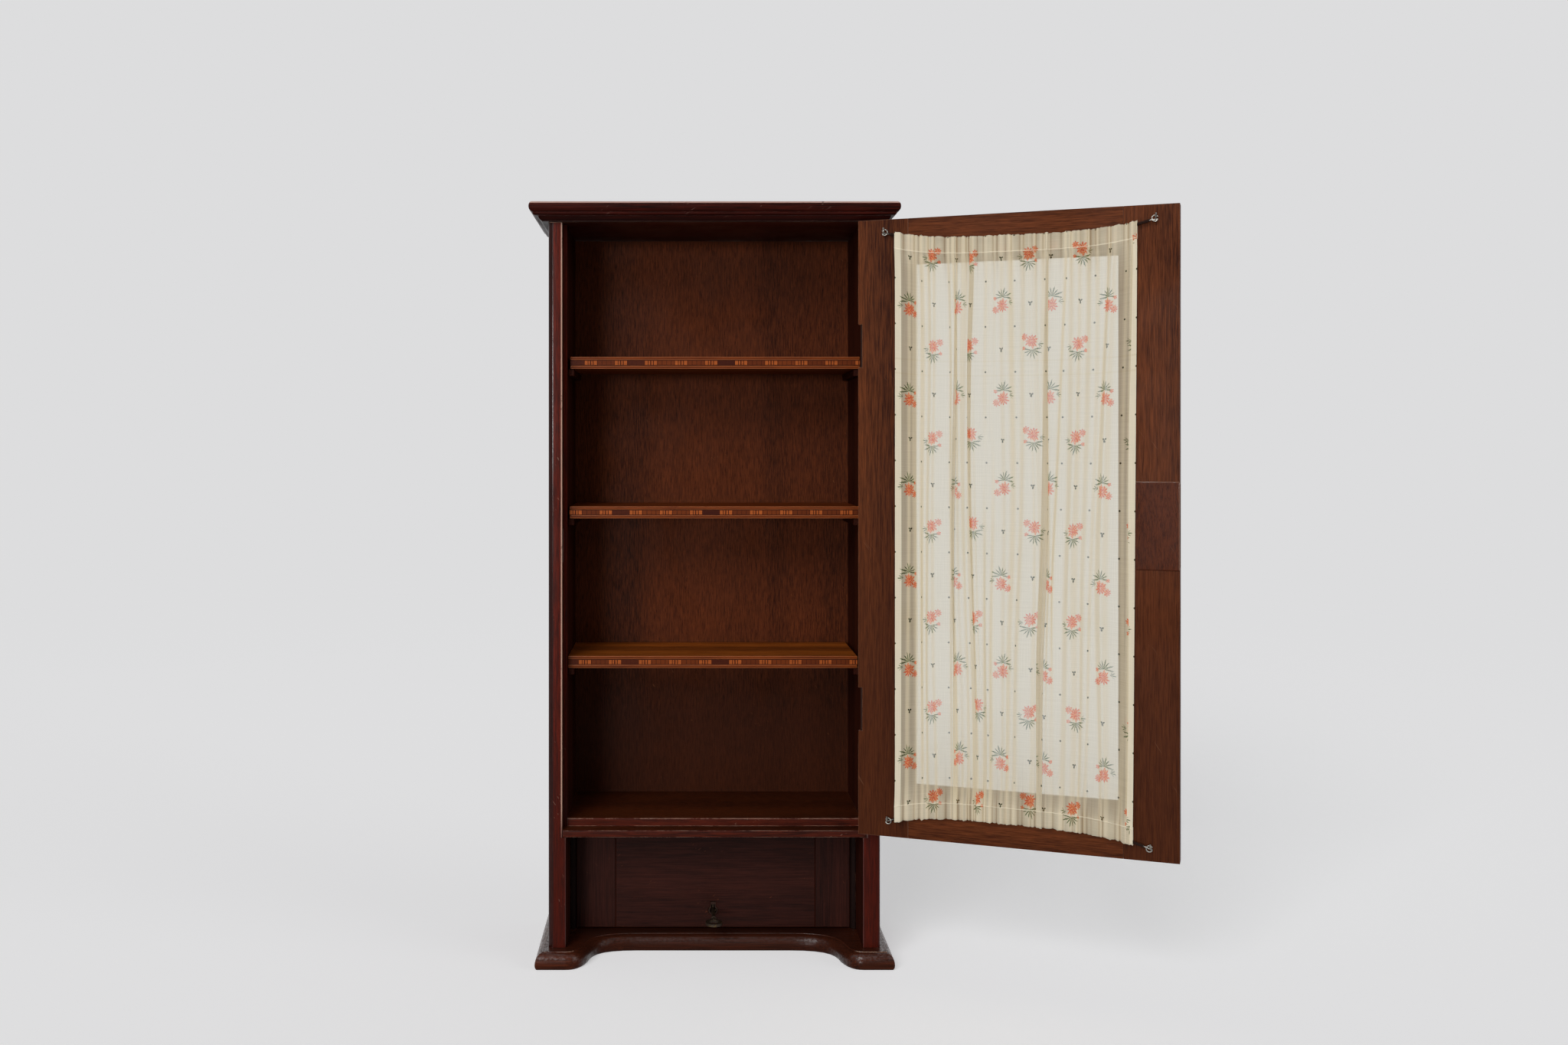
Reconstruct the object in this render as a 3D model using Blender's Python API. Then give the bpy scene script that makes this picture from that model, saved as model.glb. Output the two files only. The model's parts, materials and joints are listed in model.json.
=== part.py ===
"""Small oak cabinet with one glazed, curtained door, three loose shelves and a locked flap in its niche.

Metres, +Z up, the front faces -Y. The origin is the middle of the plinth's underside.
The door stands open as it does in the picture. Everything is drawn in millimetres and scaled by MM.
"""

import math

import bmesh
import bpy
from mathutils import Matrix
from mathutils import Vector

MM = 0.001

# Driving dimensions, in millimetres.
CASE_W = 434.0
CASE_D = 186.0
CASE_H = 994.0
SIDE_T = 23.0
SIDE_ROUND = 3.4
TOP_T = 24.0
PLINTH_T = 22.0
BACK_T = 9.0
BACK_SEAT = 10.0
CORNICE_OUT = 23.6
PLINTH_SIDE_OUT = 15.8
PLINTH_FRONT_OUT = 23.2
PLINTH_RECESS = 52.0
FOOT_W = 39.8
FOOT_CURVE_W = 28.5
FOOT_CURVE_D = 31.2
RECESS_CURVE_W = 62.5
NOSE_Z = 6.6
NOSE_UNDER = 3.4
NOSE_ROUND = 9.2
NOSE_FILLET = 1.2
DOOR_OPEN_DEG = 158.8
DOOR_T = 20.0
STILE_FACE = 65.0
GLASS_LIP = 7.0
LIP_T = 8.0
GLASS_T = 2.2
BEAD_W = 6.2
TOP_RAIL = 50.5
BOTTOM_RAIL = 60.0
REBATE_W = 4.5
FLOOR_TOP = 186.0
FLOOR_T = 20.0
LEDGE_DROP = 10.3
SHELF_T = 16.0
SHELF_FRONT = 31.0
TOP_BAY = 174.0
BOTTOM_BAY = 213.0
INLAY_H = 7.0
INLAY_T = 1.5
CLEAT_W = 8.0
CLEAT_H = 9.0
FLAP_FRONT = 78.4
FLAP_T = 16.0
FLAP_JAMB_W = 7.8
FLAP_CLAMP_L = 53.0
FLAP_CLAMP_R = 47.0
FLAP_HINGE_IN = 89.5
KEY_UP = 25.0
HINGE_H = 54.6
HINGE_END = 134.0
LOCK_RISE = 8.65
LOCK_H = 100.0
LOCK_W = 41.4
LOCK_COVER_H = 106.8
LOCK_COVER_T = 2.0
CURTAIN_IN_HINGE = 49.4
CURTAIN_IN_FREE = 48.2
CLOTH_T = 0.9

# Clearances.
TOUCH = 0.3
DOOR_GAP = 1.2
DOOR_TOP_GAP = 2.0
SHELF_PLAY = 2.0
SHELF_BACK_GAP = 3.0
FLAP_GAP = 0.4
FLAP_UNDER = 2.2
FLAP_OVER = 2.0
PIN_PLAY = 0.35
BOLT_PLAY = 0.5
MORTISE_PLAY = 1.0

# How far past a face a cutter runs.
PAST = 9.0

# Derived planes.
HALF_W = CASE_W / 2
INNER = HALF_W - SIDE_T
FRONT = -CASE_D / 2
BACK = CASE_D / 2
TOP_Z = CASE_H - TOP_T
REBATE_X = INNER + REBATE_W
REBATE_Y = FRONT + DOOR_T + LOCK_COVER_T + 2 * TOUCH
BACK_FRONT = BACK - BACK_T
FLOOR_Z = FLOOR_TOP - FLOOR_T
LEDGE_Z = FLOOR_TOP - LEDGE_DROP
SHELF_HALF = INNER - SHELF_PLAY
SHELF_PITCH = (TOP_Z - TOP_BAY - FLOOR_TOP - BOTTOM_BAY) / 2
DOOR_HALF = REBATE_X - DOOR_GAP
DOOR_Z0 = LEDGE_Z + DOOR_GAP
DOOR_Z1 = TOP_Z - DOOR_TOP_GAP
DOOR_IN = FRONT + DOOR_T
FACE_X = DOOR_HALF - STILE_FACE
LIP_X = FACE_X - GLASS_LIP
LOCK_MID = (DOOR_Z0 + DOOR_Z1) / 2 + LOCK_RISE
KEY_Z = PLINTH_T + KEY_UP
CURTAIN_W = 2 * DOOR_HALF - CURTAIN_IN_HINGE - CURTAIN_IN_FREE
CURTAIN_MID = (CURTAIN_IN_FREE - CURTAIN_IN_HINGE) / 2

WOOD_DARK = (0.055, 0.020, 0.010)
WOOD_MID = (0.110, 0.045, 0.018)
WOOD_LIGHT = (0.230, 0.095, 0.035)
INLAY = (0.420, 0.210, 0.080)
BRASS = (0.420, 0.300, 0.110)
STEEL = (0.330, 0.320, 0.300)
IRON = (0.090, 0.070, 0.055)
CLOTH = (0.760, 0.700, 0.590)
GLASS = (0.800, 0.850, 0.830)


def clear_scene():
    for old in list(bpy.data.objects):
        bpy.data.objects.remove(old)


def painted(name, colour, rough, metal=0.0):
    made = bpy.data.materials.new(name)
    made.use_nodes = True
    shader = made.node_tree.nodes["Principled BSDF"]
    shader.inputs["Base Color"].default_value = (*colour, 1.0)
    shader.inputs["Roughness"].default_value = rough
    shader.inputs["Metallic"].default_value = metal
    made.diffuse_color = (*colour, 1.0)
    return made


def solid(name, points, faces, colour, rough=0.45, metal=0.0):
    """One closed mesh object from millimetre points, its faces turned outwards."""
    mesh = bpy.data.meshes.new(name)
    shape = bmesh.new()
    verts = [shape.verts.new(Vector(p) * MM) for p in points]
    for face in faces:
        shape.faces.new([verts[i] for i in face])
    bmesh.ops.recalc_face_normals(shape, faces=shape.faces)
    shape.to_mesh(mesh)
    shape.free()
    made = bpy.data.objects.new(name, mesh)
    bpy.context.scene.collection.objects.link(made)
    mesh.materials.append(painted(name, colour, rough, metal))
    return made


def box(name, x, y, z, colour, rough=0.45, metal=0.0):
    points = [(a, b, c) for c in z for b in y for a in x]
    faces = [(0, 2, 3, 1), (4, 5, 7, 6), (0, 1, 5, 4), (2, 6, 7, 3), (0, 4, 6, 2), (1, 3, 7, 5)]
    return solid(name, points, faces, colour, rough, metal)


def prism(name, outline, axis, low, high, colour, rough=0.45, metal=0.0):
    """An outline drawn in the two other axes, in order, pulled along one axis."""
    count = len(outline)

    def place(p, along):
        if axis == "X":
            return (along, p[0], p[1])
        if axis == "Y":
            return (p[0], along, p[1])
        return (p[0], p[1], along)

    points = [place(p, low) for p in outline] + [place(p, high) for p in outline]
    faces = [tuple(range(count)), tuple(range(2 * count - 1, count - 1, -1))]
    for i in range(count):
        j = (i + 1) % count
        faces.append((i, j, count + j, count + i))
    return solid(name, points, faces, colour, rough, metal)


def disc(centre, radius, sides, start=0.0):
    return [
        (
            centre[0] + radius * math.cos(start + 2 * math.pi * i / sides),
            centre[1] + radius * math.sin(start + 2 * math.pi * i / sides),
        )
        for i in range(sides)
    ]


def oval(centre, wide, tall, from_deg, to_deg, steps):
    """Points along part of an ellipse, from its half width and half height."""
    points = []
    for i in range(steps + 1):
        turn = math.radians(from_deg + (to_deg - from_deg) * i / steps)
        points.append((centre[0] + wide * math.cos(turn), centre[1] + tall * math.sin(turn)))
    return points


def curve(start, first, second, end, steps):
    """Points along a cubic curve, without its start."""
    points = []
    for i in range(1, steps + 1):
        t = i / steps
        weights = ((1 - t) ** 3, 3 * t * (1 - t) ** 2, 3 * t * t * (1 - t), t ** 3)
        held = (start, first, second, end)
        points.append(tuple(sum(w * p[k] for w, p in zip(weights, held)) for k in (0, 1)))
    return points


def tube(name, path, radii, sides, colour, rough=0.4, metal=0.0):
    """A round tube along a path of points, with its own radius at each, closed at both ends."""
    points = [Vector(p) for p in path]
    count = len(points)
    along = []
    for i in range(count):
        before = points[max(i - 1, 0)]
        after = points[min(i + 1, count - 1)]
        along.append((after - before).normalized())
    side = along[0].orthogonal().normalized()
    rings = []
    for i in range(count):
        side = (side - along[i] * side.dot(along[i])).normalized()
        other = along[i].cross(side)
        for k in range(sides):
            turn = 2 * math.pi * k / sides
            spoke = side * math.cos(turn) + other * math.sin(turn)
            rings.append(points[i] + spoke * radii[i])
    faces = [tuple(range(sides)), tuple(range(count * sides - 1, (count - 1) * sides - 1, -1))]
    for i in range(count - 1):
        for k in range(sides):
            m = (k + 1) % sides
            low = i * sides
            high = low + sides
            faces.append((low + k, low + m, high + m, high + k))
    return solid(name, rings, faces, colour, rough, metal)


def helper(made):
    made.hide_render = True
    made.display_type = "WIRE"
    return made


def boolean(target, other, operation):
    helper(other)
    step = target.modifiers.new(operation.lower() + "_" + other.name, "BOOLEAN")
    step.operation = operation
    step.solver = "EXACT"
    step.object = other
    return target


def cut(target, other):
    return boolean(target, other, "DIFFERENCE")


def join(target, other):
    return boolean(target, other, "UNION")


def ease(target, width, segments=1, angle_deg=40.0):
    step = target.modifiers.new("eased_edges", "BEVEL")
    step.width = width * MM
    step.segments = segments
    step.limit_method = "ANGLE"
    step.angle_limit = math.radians(angle_deg)
    step.use_clamp_overlap = True
    return target


def cutter(name, x, y, z):
    return helper(box("cut_" + name, x, y, z, WOOD_MID))


def pivot(name, place):
    made = bpy.data.objects.new(name, None)
    made.location = Vector(place) * MM
    bpy.context.scene.collection.objects.link(made)
    return made


def hang(child, parent):
    """Parents a piece, and its cutters, to a joint's empty without moving it."""
    family = [child]
    for step in child.modifiers:
        if step.type == "BOOLEAN":
            family.append(step.object)
            for inner in step.object.modifiers:
                if inner.type == "BOOLEAN":
                    family.append(inner.object)
    for one in family:
        one.parent = parent
        one.matrix_parent_inverse = Matrix.Translation(parent.location).inverted()


def side_outline(sign):
    """Plan of one side board: rounded outer front corner, eased inner one, rebate for the back."""
    outer = sign * HALF_W
    inner = sign * INNER
    seat = sign * (INNER + BACK_SEAT)
    corner = (outer - sign * SIDE_ROUND, FRONT + SIDE_ROUND)
    points = [(outer, BACK)]
    points += oval(corner, sign * SIDE_ROUND, SIDE_ROUND, 0.0, -90.0, 4)
    points += [(inner + sign * 1.2, FRONT), (inner + sign * 0.35, FRONT + 0.35), (inner, FRONT + 1.2)]
    points += [(inner, BACK_FRONT - TOUCH), (seat, BACK_FRONT - TOUCH), (seat, BACK)]
    return points


def rebate_cutter(sign):
    """The door rebate of one side, with its front arris rounded."""
    wall = sign * REBATE_X
    mouth = sign * (REBATE_X + 2.0)
    beyond = sign * (INNER - PAST)
    outline = [(beyond, FRONT - PAST), (mouth, FRONT - PAST), (mouth, FRONT)]
    outline += [(sign * (REBATE_X + 0.6), FRONT + 0.6), (wall, FRONT + 2.0)]
    outline += [(wall, REBATE_Y), (beyond, REBATE_Y)]
    name = "cut_rebate_left" if sign < 0 else "cut_rebate_right"
    return prism(name, outline, "Z", FLOOR_Z - TOUCH, TOP_Z + PAST, WOOD_DARK)


BOLT_MID = LOCK_MID - 41.1
BOLT_Z = (BOLT_MID - 6.0, BOLT_MID + 6.0)
BOLT_Y = (FRONT + 7.0, FRONT + 12.0)
STRIKE_Z = (BOLT_MID - 15.0, BOLT_MID + 29.0)
STRIKE_Y = (FRONT + 2.6, FRONT + 17.4)
STRIKE_T = 1.5
MORTISE_DEEP = 9.0


def make_sides():
    left = prism("side_left", side_outline(-1), "Z", PLINTH_T + TOUCH, TOP_Z - TOUCH, WOOD_DARK)
    cut(left, rebate_cutter(-1))
    deep = REBATE_X + STRIKE_T + TOUCH
    plate_room = (STRIKE_Y[0] - TOUCH, STRIKE_Y[1] + TOUCH)
    plate_tall = (STRIKE_Z[0] - TOUCH, STRIKE_Z[1] + TOUCH)
    cut(left, cutter("strike_seat", (-deep, -REBATE_X + REBATE_W / 2), plate_room, plate_tall))
    hole_y = (BOLT_Y[0] - MORTISE_PLAY, BOLT_Y[1] + MORTISE_PLAY)
    hole_z = (BOLT_Z[0] - MORTISE_PLAY, BOLT_Z[1] + MORTISE_PLAY)
    cut(left, cutter("bolt_mortise", (-REBATE_X - MORTISE_DEEP, -deep + TOUCH), hole_y, hole_z))
    right = prism("side_right", side_outline(1), "Z", PLINTH_T + TOUCH, TOP_Z - TOUCH, WOOD_DARK)
    cut(right, rebate_cutter(1))
    strike = box(
        "strike_plate",
        (-REBATE_X - STRIKE_T, -REBATE_X - 0.1),
        STRIKE_Y,
        STRIKE_Z,
        STEEL,
        0.4,
        1.0,
    )
    hole = cutter("strike_hole", (-REBATE_X - PAST, -REBATE_X + PAST), hole_y, hole_z)
    cut(strike, hole)


def cornice_profile():
    """Out from the case and up from the underside: a tall bead, a small bead under it, then an ovolo."""
    shares = oval((0.835, 0.730), 0.165, 0.270, 90.0, -90.0, 7)
    shares += [(0.792, 0.435)]
    shares += oval((0.661, 0.390), 0.135, 0.110, 10.0, -78.0, 4)
    shares += [(0.517, 0.275)]
    shares += oval((0.233, 0.345), 0.292, 0.345, -12.0, -73.0, 3)
    shares += [(0.318, 0.0)]
    moulded = [(CORNICE_OUT * out, TOP_T * up) for out, up in shares]
    return [(TOUCH, TOP_T)] + moulded + [(TOUCH, 0.0)]


def mitred(name, place_start, place_end):
    """A moulding run between two end planes, each profile point placed by its own mitre."""
    profile = cornice_profile()
    count = len(profile)
    points = [place_start(out, TOP_Z + up) for out, up in profile]
    points += [place_end(out, TOP_Z + up) for out, up in profile]
    faces = [tuple(range(count)), tuple(range(2 * count - 1, count - 1, -1))]
    for i in range(count):
        j = (i + 1) % count
        faces.append((i, j, count + j, count + i))
    return solid(name, points, faces, WOOD_DARK, 0.35)


def make_top():
    ease(
        box("top_board", (-HALF_W, HALF_W), (FRONT, BACK), (TOP_Z, CASE_H), WOOD_DARK),
        0.4,
    )
    mitre = TOUCH / 2

    mitred(
        "cornice_front",
        lambda out, up: (-HALF_W - out + mitre, FRONT - out, up),
        lambda out, up: (HALF_W + out - mitre, FRONT - out, up),
    )
    for name, sign in (("cornice_left", -1), ("cornice_right", 1)):
        mitred(
            name,
            lambda out, up, s=sign: (s * (HALF_W + out), FRONT - out + 2 * mitre, up),
            lambda out, up, s=sign: (s * (HALF_W + out), BACK, up),
        )


def plinth_profile():
    """Inset from the widest line and height, from the top arris round the nose to the underside."""
    tall = PLINTH_T - NOSE_FILLET - NOSE_Z
    over = oval((NOSE_ROUND, NOSE_Z), NOSE_ROUND, tall, 90.0, 180.0, 6)
    under = oval((NOSE_UNDER, NOSE_Z), NOSE_UNDER, NOSE_Z, 180.0, 270.0, 3)
    return [(NOSE_ROUND, PLINTH_T)] + over + under[1:]


def plinth_line():
    """The plinth's widest line in plan, from its back left corner round the front to the back right.

    The front line is an ogee: it leaves the foot in a round and turns into the recess in a hollow.
    """
    wide = HALF_W + PLINTH_SIDE_OUT
    nose = FRONT - PLINTH_FRONT_OUT
    foot = (FOOT_W - wide, nose)
    turn = (foot[0] + FOOT_CURVE_W, nose + FOOT_CURVE_D)
    deep = FRONT + PLINTH_RECESS
    rest = (turn[0] + RECESS_CURVE_W, deep)
    rise = deep - turn[1]
    half = [(-wide, BACK), (-wide, nose), foot]
    half += curve(
        foot,
        (foot[0] + 0.456 * FOOT_CURVE_W, nose),
        (foot[0] + 0.789 * FOOT_CURVE_W, nose + 0.279 * FOOT_CURVE_D),
        turn,
        6,
    )
    half += curve(
        turn,
        (turn[0] + 0.064 * RECESS_CURVE_W, turn[1] + 0.636 * rise),
        (turn[0] + 0.232 * RECESS_CURVE_W, deep),
        rest,
        7,
    )
    return half + [(-x, y) for x, y in reversed(half)]


def inset_line(line, amount):
    """The same line moved inwards; its two ends stay on the back plane."""
    count = len(line)
    moved = []
    for i, point in enumerate(line):
        if i in (0, count - 1):
            step = amount if i == 0 else -amount
            moved.append((point[0] + step, point[1]))
            continue
        here = Vector(point)
        before = (here - Vector(line[i - 1])).normalized()
        after = (Vector(line[i + 1]) - here).normalized()
        first = Vector((-before.y, before.x))
        second = Vector((-after.y, after.x))
        blend = (first + second).normalized()
        reach = amount / max(blend.dot(first), 0.3)
        moved.append(tuple(here + blend * reach))
    return moved


def make_plinth():
    line = plinth_line()
    count = len(line)
    profile = plinth_profile()
    points = []
    for inset, height in profile:
        points += [(x, y, height) for x, y in inset_line(line, inset)]
    rings = len(profile)
    faces = [tuple(range(count)), tuple(range(rings * count - 1, (rings - 1) * count - 1, -1))]
    for r in range(rings - 1):
        for i in range(count):
            j = (i + 1) % count
            low = r * count
            faces.append((low + i, low + j, low + count + j, low + count + i))
    made = solid("plinth", points, faces, WOOD_DARK, 0.3)
    mortise_x = (FLAP_BOLT_X[0] - MORTISE_PLAY, FLAP_BOLT_X[1] + MORTISE_PLAY)
    mortise_y = (FLAP_BOLT_Y[0] - MORTISE_PLAY, FLAP_BOLT_Y[1] + MORTISE_PLAY)
    sunk = FLAP_BOLT_Z[0] - FLAP_BOLT_THROW - MORTISE_PLAY
    cut(made, cutter("flap_mortise", mortise_x, mortise_y, (sunk, PLINTH_T + PAST)))


def make_floor_and_back():
    nose = REBATE_X - TOUCH
    inner = INNER - TOUCH
    outline = [(BACK_FRONT - TOUCH, FLOOR_Z), (FRONT + 1.6, FLOOR_Z)]
    outline += [(FRONT + 0.5, FLOOR_Z + 0.5), (FRONT, FLOOR_Z + 1.6)]
    outline += [(FRONT, LEDGE_Z - 2.2), (FRONT + 0.6, LEDGE_Z - 0.7), (FRONT + 2.2, LEDGE_Z)]
    outline += [(REBATE_Y, LEDGE_Z), (REBATE_Y, FLOOR_TOP - 1.0), (REBATE_Y + 1.0, FLOOR_TOP)]
    outline += [(BACK_FRONT - TOUCH, FLOOR_TOP)]
    floor = prism("cupboard_floor", outline, "X", -nose, nose, WOOD_DARK)
    for name, sign in (("floor_end_left", -1), ("floor_end_right", 1)):
        ends = sorted((sign * inner, sign * (nose + PAST)))
        tall = (FLOOR_Z - PAST, FLOOR_TOP + PAST)
        cut(floor, cutter(name, ends, (REBATE_Y - TOUCH, BACK + PAST), tall))
    edge = INNER + BACK_SEAT - TOUCH
    box(
        "back_panel",
        (-edge, edge),
        (BACK_FRONT, BACK),
        (PLINTH_T + TOUCH, TOP_Z - TOUCH),
        WOOD_MID,
    )


# Each shelf lies a little to one side, as a share of its play.
SHELF_NUDGES = {"lower": -0.8, "middle": 0.3, "upper": 0.8}


def make_shelves():
    front = FRONT + SHELF_FRONT
    rear = BACK_FRONT - SHELF_BACK_GAP
    for level, (name, nudge) in enumerate(SHELF_NUDGES.items()):
        top = FLOOR_TOP + BOTTOM_BAY + SHELF_PITCH * level
        shift = SHELF_PLAY * nudge
        ends = (shift - SHELF_HALF, shift + SHELF_HALF)
        middle = top - SHELF_T / 2
        half = INLAY_H / 2
        board = box("shelf_" + name, ends, (front, rear), (top - SHELF_T, top), WOOD_LIGHT)
        groove_x = (ends[0] - PAST, ends[1] + PAST)
        groove_z = (middle - half - TOUCH, middle + half + TOUCH)
        groove = cutter("groove_" + name, groove_x, (front - PAST, front + INLAY_T + TOUCH), groove_z)
        cut(board, groove)
        box("shelf_inlay_" + name, ends, (front, front + INLAY_T), (middle - half, middle + half), INLAY)
        under = top - SHELF_T - TOUCH
        for side, sign in (("left", -1), ("right", 1)):
            wall = sorted((sign * (INNER - TOUCH), sign * (INNER - TOUCH - CLEAT_W)))
            cleat = box(
                "cleat_" + name + "_" + side,
                wall,
                (front + 3.0, rear - 2.0),
                (under - CLEAT_H, under),
                WOOD_MID,
            )
            ease(cleat, 0.6)


LEAF_T = 2.2
LEAF_D = 16.0
LEAF_IN = 1.8
BARREL_R = 3.0
DOOR_PIN_R = 1.2
PIN_X = REBATE_X - TOUCH - BARREL_R
PIN_Y = FRONT - 2.0
NOTCH_X = PIN_X - BARREL_R - TOUCH


def barrel(name, low, high, radius):
    return prism(name, disc((PIN_X, PIN_Y), radius, 14), "Z", low, high, IRON, 0.5, 1.0)


def make_hinge(label, low, door):
    """A butt hinge: both leaves lie in the notch of the door's edge when it is shut."""
    high = low + HINGE_H
    third = (HINGE_H - 2 * TOUCH) / 3
    mid_low = low + third + TOUCH
    mid_high = mid_low + third
    leaf_y = (FRONT + LEAF_IN, FRONT + LEAF_IN + LEAF_D)
    tab_y = (PIN_Y, FRONT + 2 * LEAF_IN)
    fixed_x = (PIN_X + BARREL_R - LEAF_T, PIN_X + BARREL_R)
    fixed = box("hinge_" + label + "_case_leaf", fixed_x, leaf_y, (low, high), IRON, 0.5, 1.0)
    for part, a, b in (("low", low, low + third), ("high", mid_high + TOUCH, high)):
        join(fixed, box("tab_" + label + part, fixed_x, tab_y, (a, b), IRON))
        join(fixed, barrel("knuckle_" + label + part, a, b, BARREL_R))
    join(fixed, barrel("pin_" + label, low + 2.0, high - 2.0, DOOR_PIN_R))
    moving_x = (PIN_X - BARREL_R, PIN_X - BARREL_R + LEAF_T)
    moving = box("hinge_" + label + "_door_leaf", moving_x, leaf_y, (low, high), IRON, 0.5, 1.0)
    join(moving, box("tab_" + label + "mid", moving_x, tab_y, (mid_low, mid_high), IRON))
    join(moving, barrel("knuckle_" + label + "mid", mid_low, mid_high, BARREL_R))
    cut(moving, barrel("bore_" + label, low - PAST, high + PAST, DOOR_PIN_R + PIN_PLAY))
    hang(moving, door)


LOCK_INSET = 0.6
LOCK_X = (-DOOR_HALF + LOCK_INSET, -DOOR_HALF + LOCK_INSET + LOCK_W)
LOCK_Y = (FRONT + 5.5, DOOR_IN - TOUCH)
LOCK_Z = (LOCK_MID - LOCK_H / 2, LOCK_MID + LOCK_H / 2)
LOCK_COVER_Z = (LOCK_MID - LOCK_COVER_H / 2, LOCK_MID + LOCK_COVER_H / 2)
BOLT_L = 25.4
KEYHOLE_X = -DOOR_HALF + 26.0
KEYHOLE_Z = LOCK_MID - 21.1
KEYHOLE_R = 2.6


LIP_CHAMFER = 2.0


def stile_outline(sign):
    edge = sign * DOOR_HALF
    face = sign * FACE_X
    lip = sign * LIP_X
    points = [(edge, FRONT), (lip + sign * LIP_CHAMFER, FRONT), (lip, FRONT + LIP_CHAMFER)]
    points += [(lip, FRONT + LIP_T), (face, FRONT + LIP_T), (face, DOOR_IN), (edge, DOOR_IN)]
    return points


def hook_holes(stile, edge):
    for end in ("top", "bottom"):
        label = end + "_" + edge
        ring = disc(HOOKS[label], HOOK_R + TOUCH, 10)
        hole_y = (DOOR_IN - HOOK_IN - MORTISE_PLAY, DOOR_IN + PAST)
        cut(stile, prism("cut_hook_" + label, ring, "Y", *hole_y, WOOD_MID))


def make_door_frame(door):
    hinge = prism("door_stile_hinge", stile_outline(1), "Z", DOOR_Z0, DOOR_Z1, WOOD_MID)
    for label, low in (("low", LOWER_HINGE), ("high", UPPER_HINGE)):
        notch_x = (NOTCH_X, DOOR_HALF + PAST)
        notch_y = (FRONT - PAST, DOOR_IN + PAST)
        cut(hinge, cutter("notch_" + label, notch_x, notch_y, (low - TOUCH, low + HINGE_H + TOUCH)))
    hook_holes(hinge, "hinge")
    hang(hinge, door)
    free = prism("door_stile_lock", stile_outline(-1), "Z", DOOR_Z0, DOOR_Z1, WOOD_MID)
    seat_x = (LOCK_X[0] - PAST, LOCK_X[1] + TOUCH)
    seat_y = (LOCK_Y[0] - TOUCH, DOOR_IN + PAST)
    cut(free, cutter("lock_seat", seat_x, seat_y, (LOCK_Z[0] - TOUCH, LOCK_Z[1] + TOUCH)))
    outline = keyhole(KEYHOLE_X, KEYHOLE_Z, KEYHOLE_R, -1)
    cut(free, prism("cut_keyhole", outline, "Y", FRONT - PAST, LOCK_Y[0] + TOUCH, IRON))
    hook_holes(free, "free")
    hang(free, door)
    for name, low, high, sign in (
        ("door_rail_top", DOOR_Z1 - TOP_RAIL, DOOR_Z1, -1),
        ("door_rail_bottom", DOOR_Z0, DOOR_Z0 + BOTTOM_RAIL, 1),
    ):
        ends = FACE_X - TOUCH
        lips = LIP_X - TOUCH
        rail = box(name, (-ends, ends), (FRONT + LIP_T + TOUCH, DOOR_IN), (low, high), WOOD_MID)
        inner_z = low - GLASS_LIP if sign < 0 else high + GLASS_LIP
        outer_z = high if sign < 0 else low
        outline = [(FRONT, outer_z), (FRONT + LIP_T, outer_z), (FRONT + LIP_T, inner_z)]
        outline += [(FRONT + LIP_CHAMFER, inner_z), (FRONT, inner_z - sign * LIP_CHAMFER)]
        bridge_y = (FRONT + LIP_T / 2, FRONT + LIP_T + DOOR_T / 4)
        join(rail, box("bridge_" + name, (-lips, lips), bridge_y, (low, high), WOOD_MID))
        join(rail, prism("lip_" + name, outline, "X", -lips, lips, WOOD_MID))
        hang(rail, door)


PANE_ROOM = 0.7
PANE_Y = (FRONT + LIP_T + TOUCH, FRONT + LIP_T + TOUCH + GLASS_T)
BEAD_Y = (PANE_Y[1] + TOUCH, PANE_Y[1] + TOUCH + BEAD_W)


def bead_outline(edge, sign):
    """A quarter-round bead from the frame's edge inwards: across the bead, and out of the glass."""
    inner = edge - sign * BEAD_W
    centre = (edge - sign * BEAD_W * 0.28, BEAD_Y[0] + BEAD_W * 0.2)
    points = [(edge, BEAD_Y[0]), (inner, BEAD_Y[0])]
    points += oval(centre, -sign * BEAD_W * 0.72, BEAD_W * 0.8, 0.0, 90.0, 4)
    return points + [(edge, BEAD_Y[1])]


def make_glazing(door):
    low = DOOR_Z0 + BOTTOM_RAIL
    high = DOOR_Z1 - TOP_RAIL
    pane_x = FACE_X - PANE_ROOM
    pane_z = (low + PANE_ROOM, high - PANE_ROOM)
    hang(box("glass_pane", (-pane_x, pane_x), PANE_Y, pane_z, GLASS, 0.05), door)
    outer = FACE_X - TOUCH
    for name, sign in (("glazing_bead_hinge", 1), ("glazing_bead_lock", -1)):
        outline = bead_outline(sign * outer, sign)
        hang(prism(name, outline, "Z", low + TOUCH, high - TOUCH, WOOD_MID), door)
    span = outer - BEAD_W - TOUCH
    for name, edge, sign in (
        ("glazing_bead_top", high - TOUCH, 1),
        ("glazing_bead_bottom", low + TOUCH, -1),
    ):
        outline = [(y, z) for z, y in bead_outline(edge, sign)]
        hang(prism(name, outline, "X", -span, span, WOOD_MID), door)


def keyhole(x, z, radius, up, long=2.9):
    """A round hole with a narrow slot, which points up when up is 1 and is long radii long."""
    slot = radius * 0.55
    long = radius * long
    first = 90.0 * up + 33.0
    points = oval((x, z), radius, radius, first, first + 294.0, 10)
    ends = [(x + slot * up, z + up * long), (x - slot * up, z + up * long)]
    return points + ends


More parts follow.
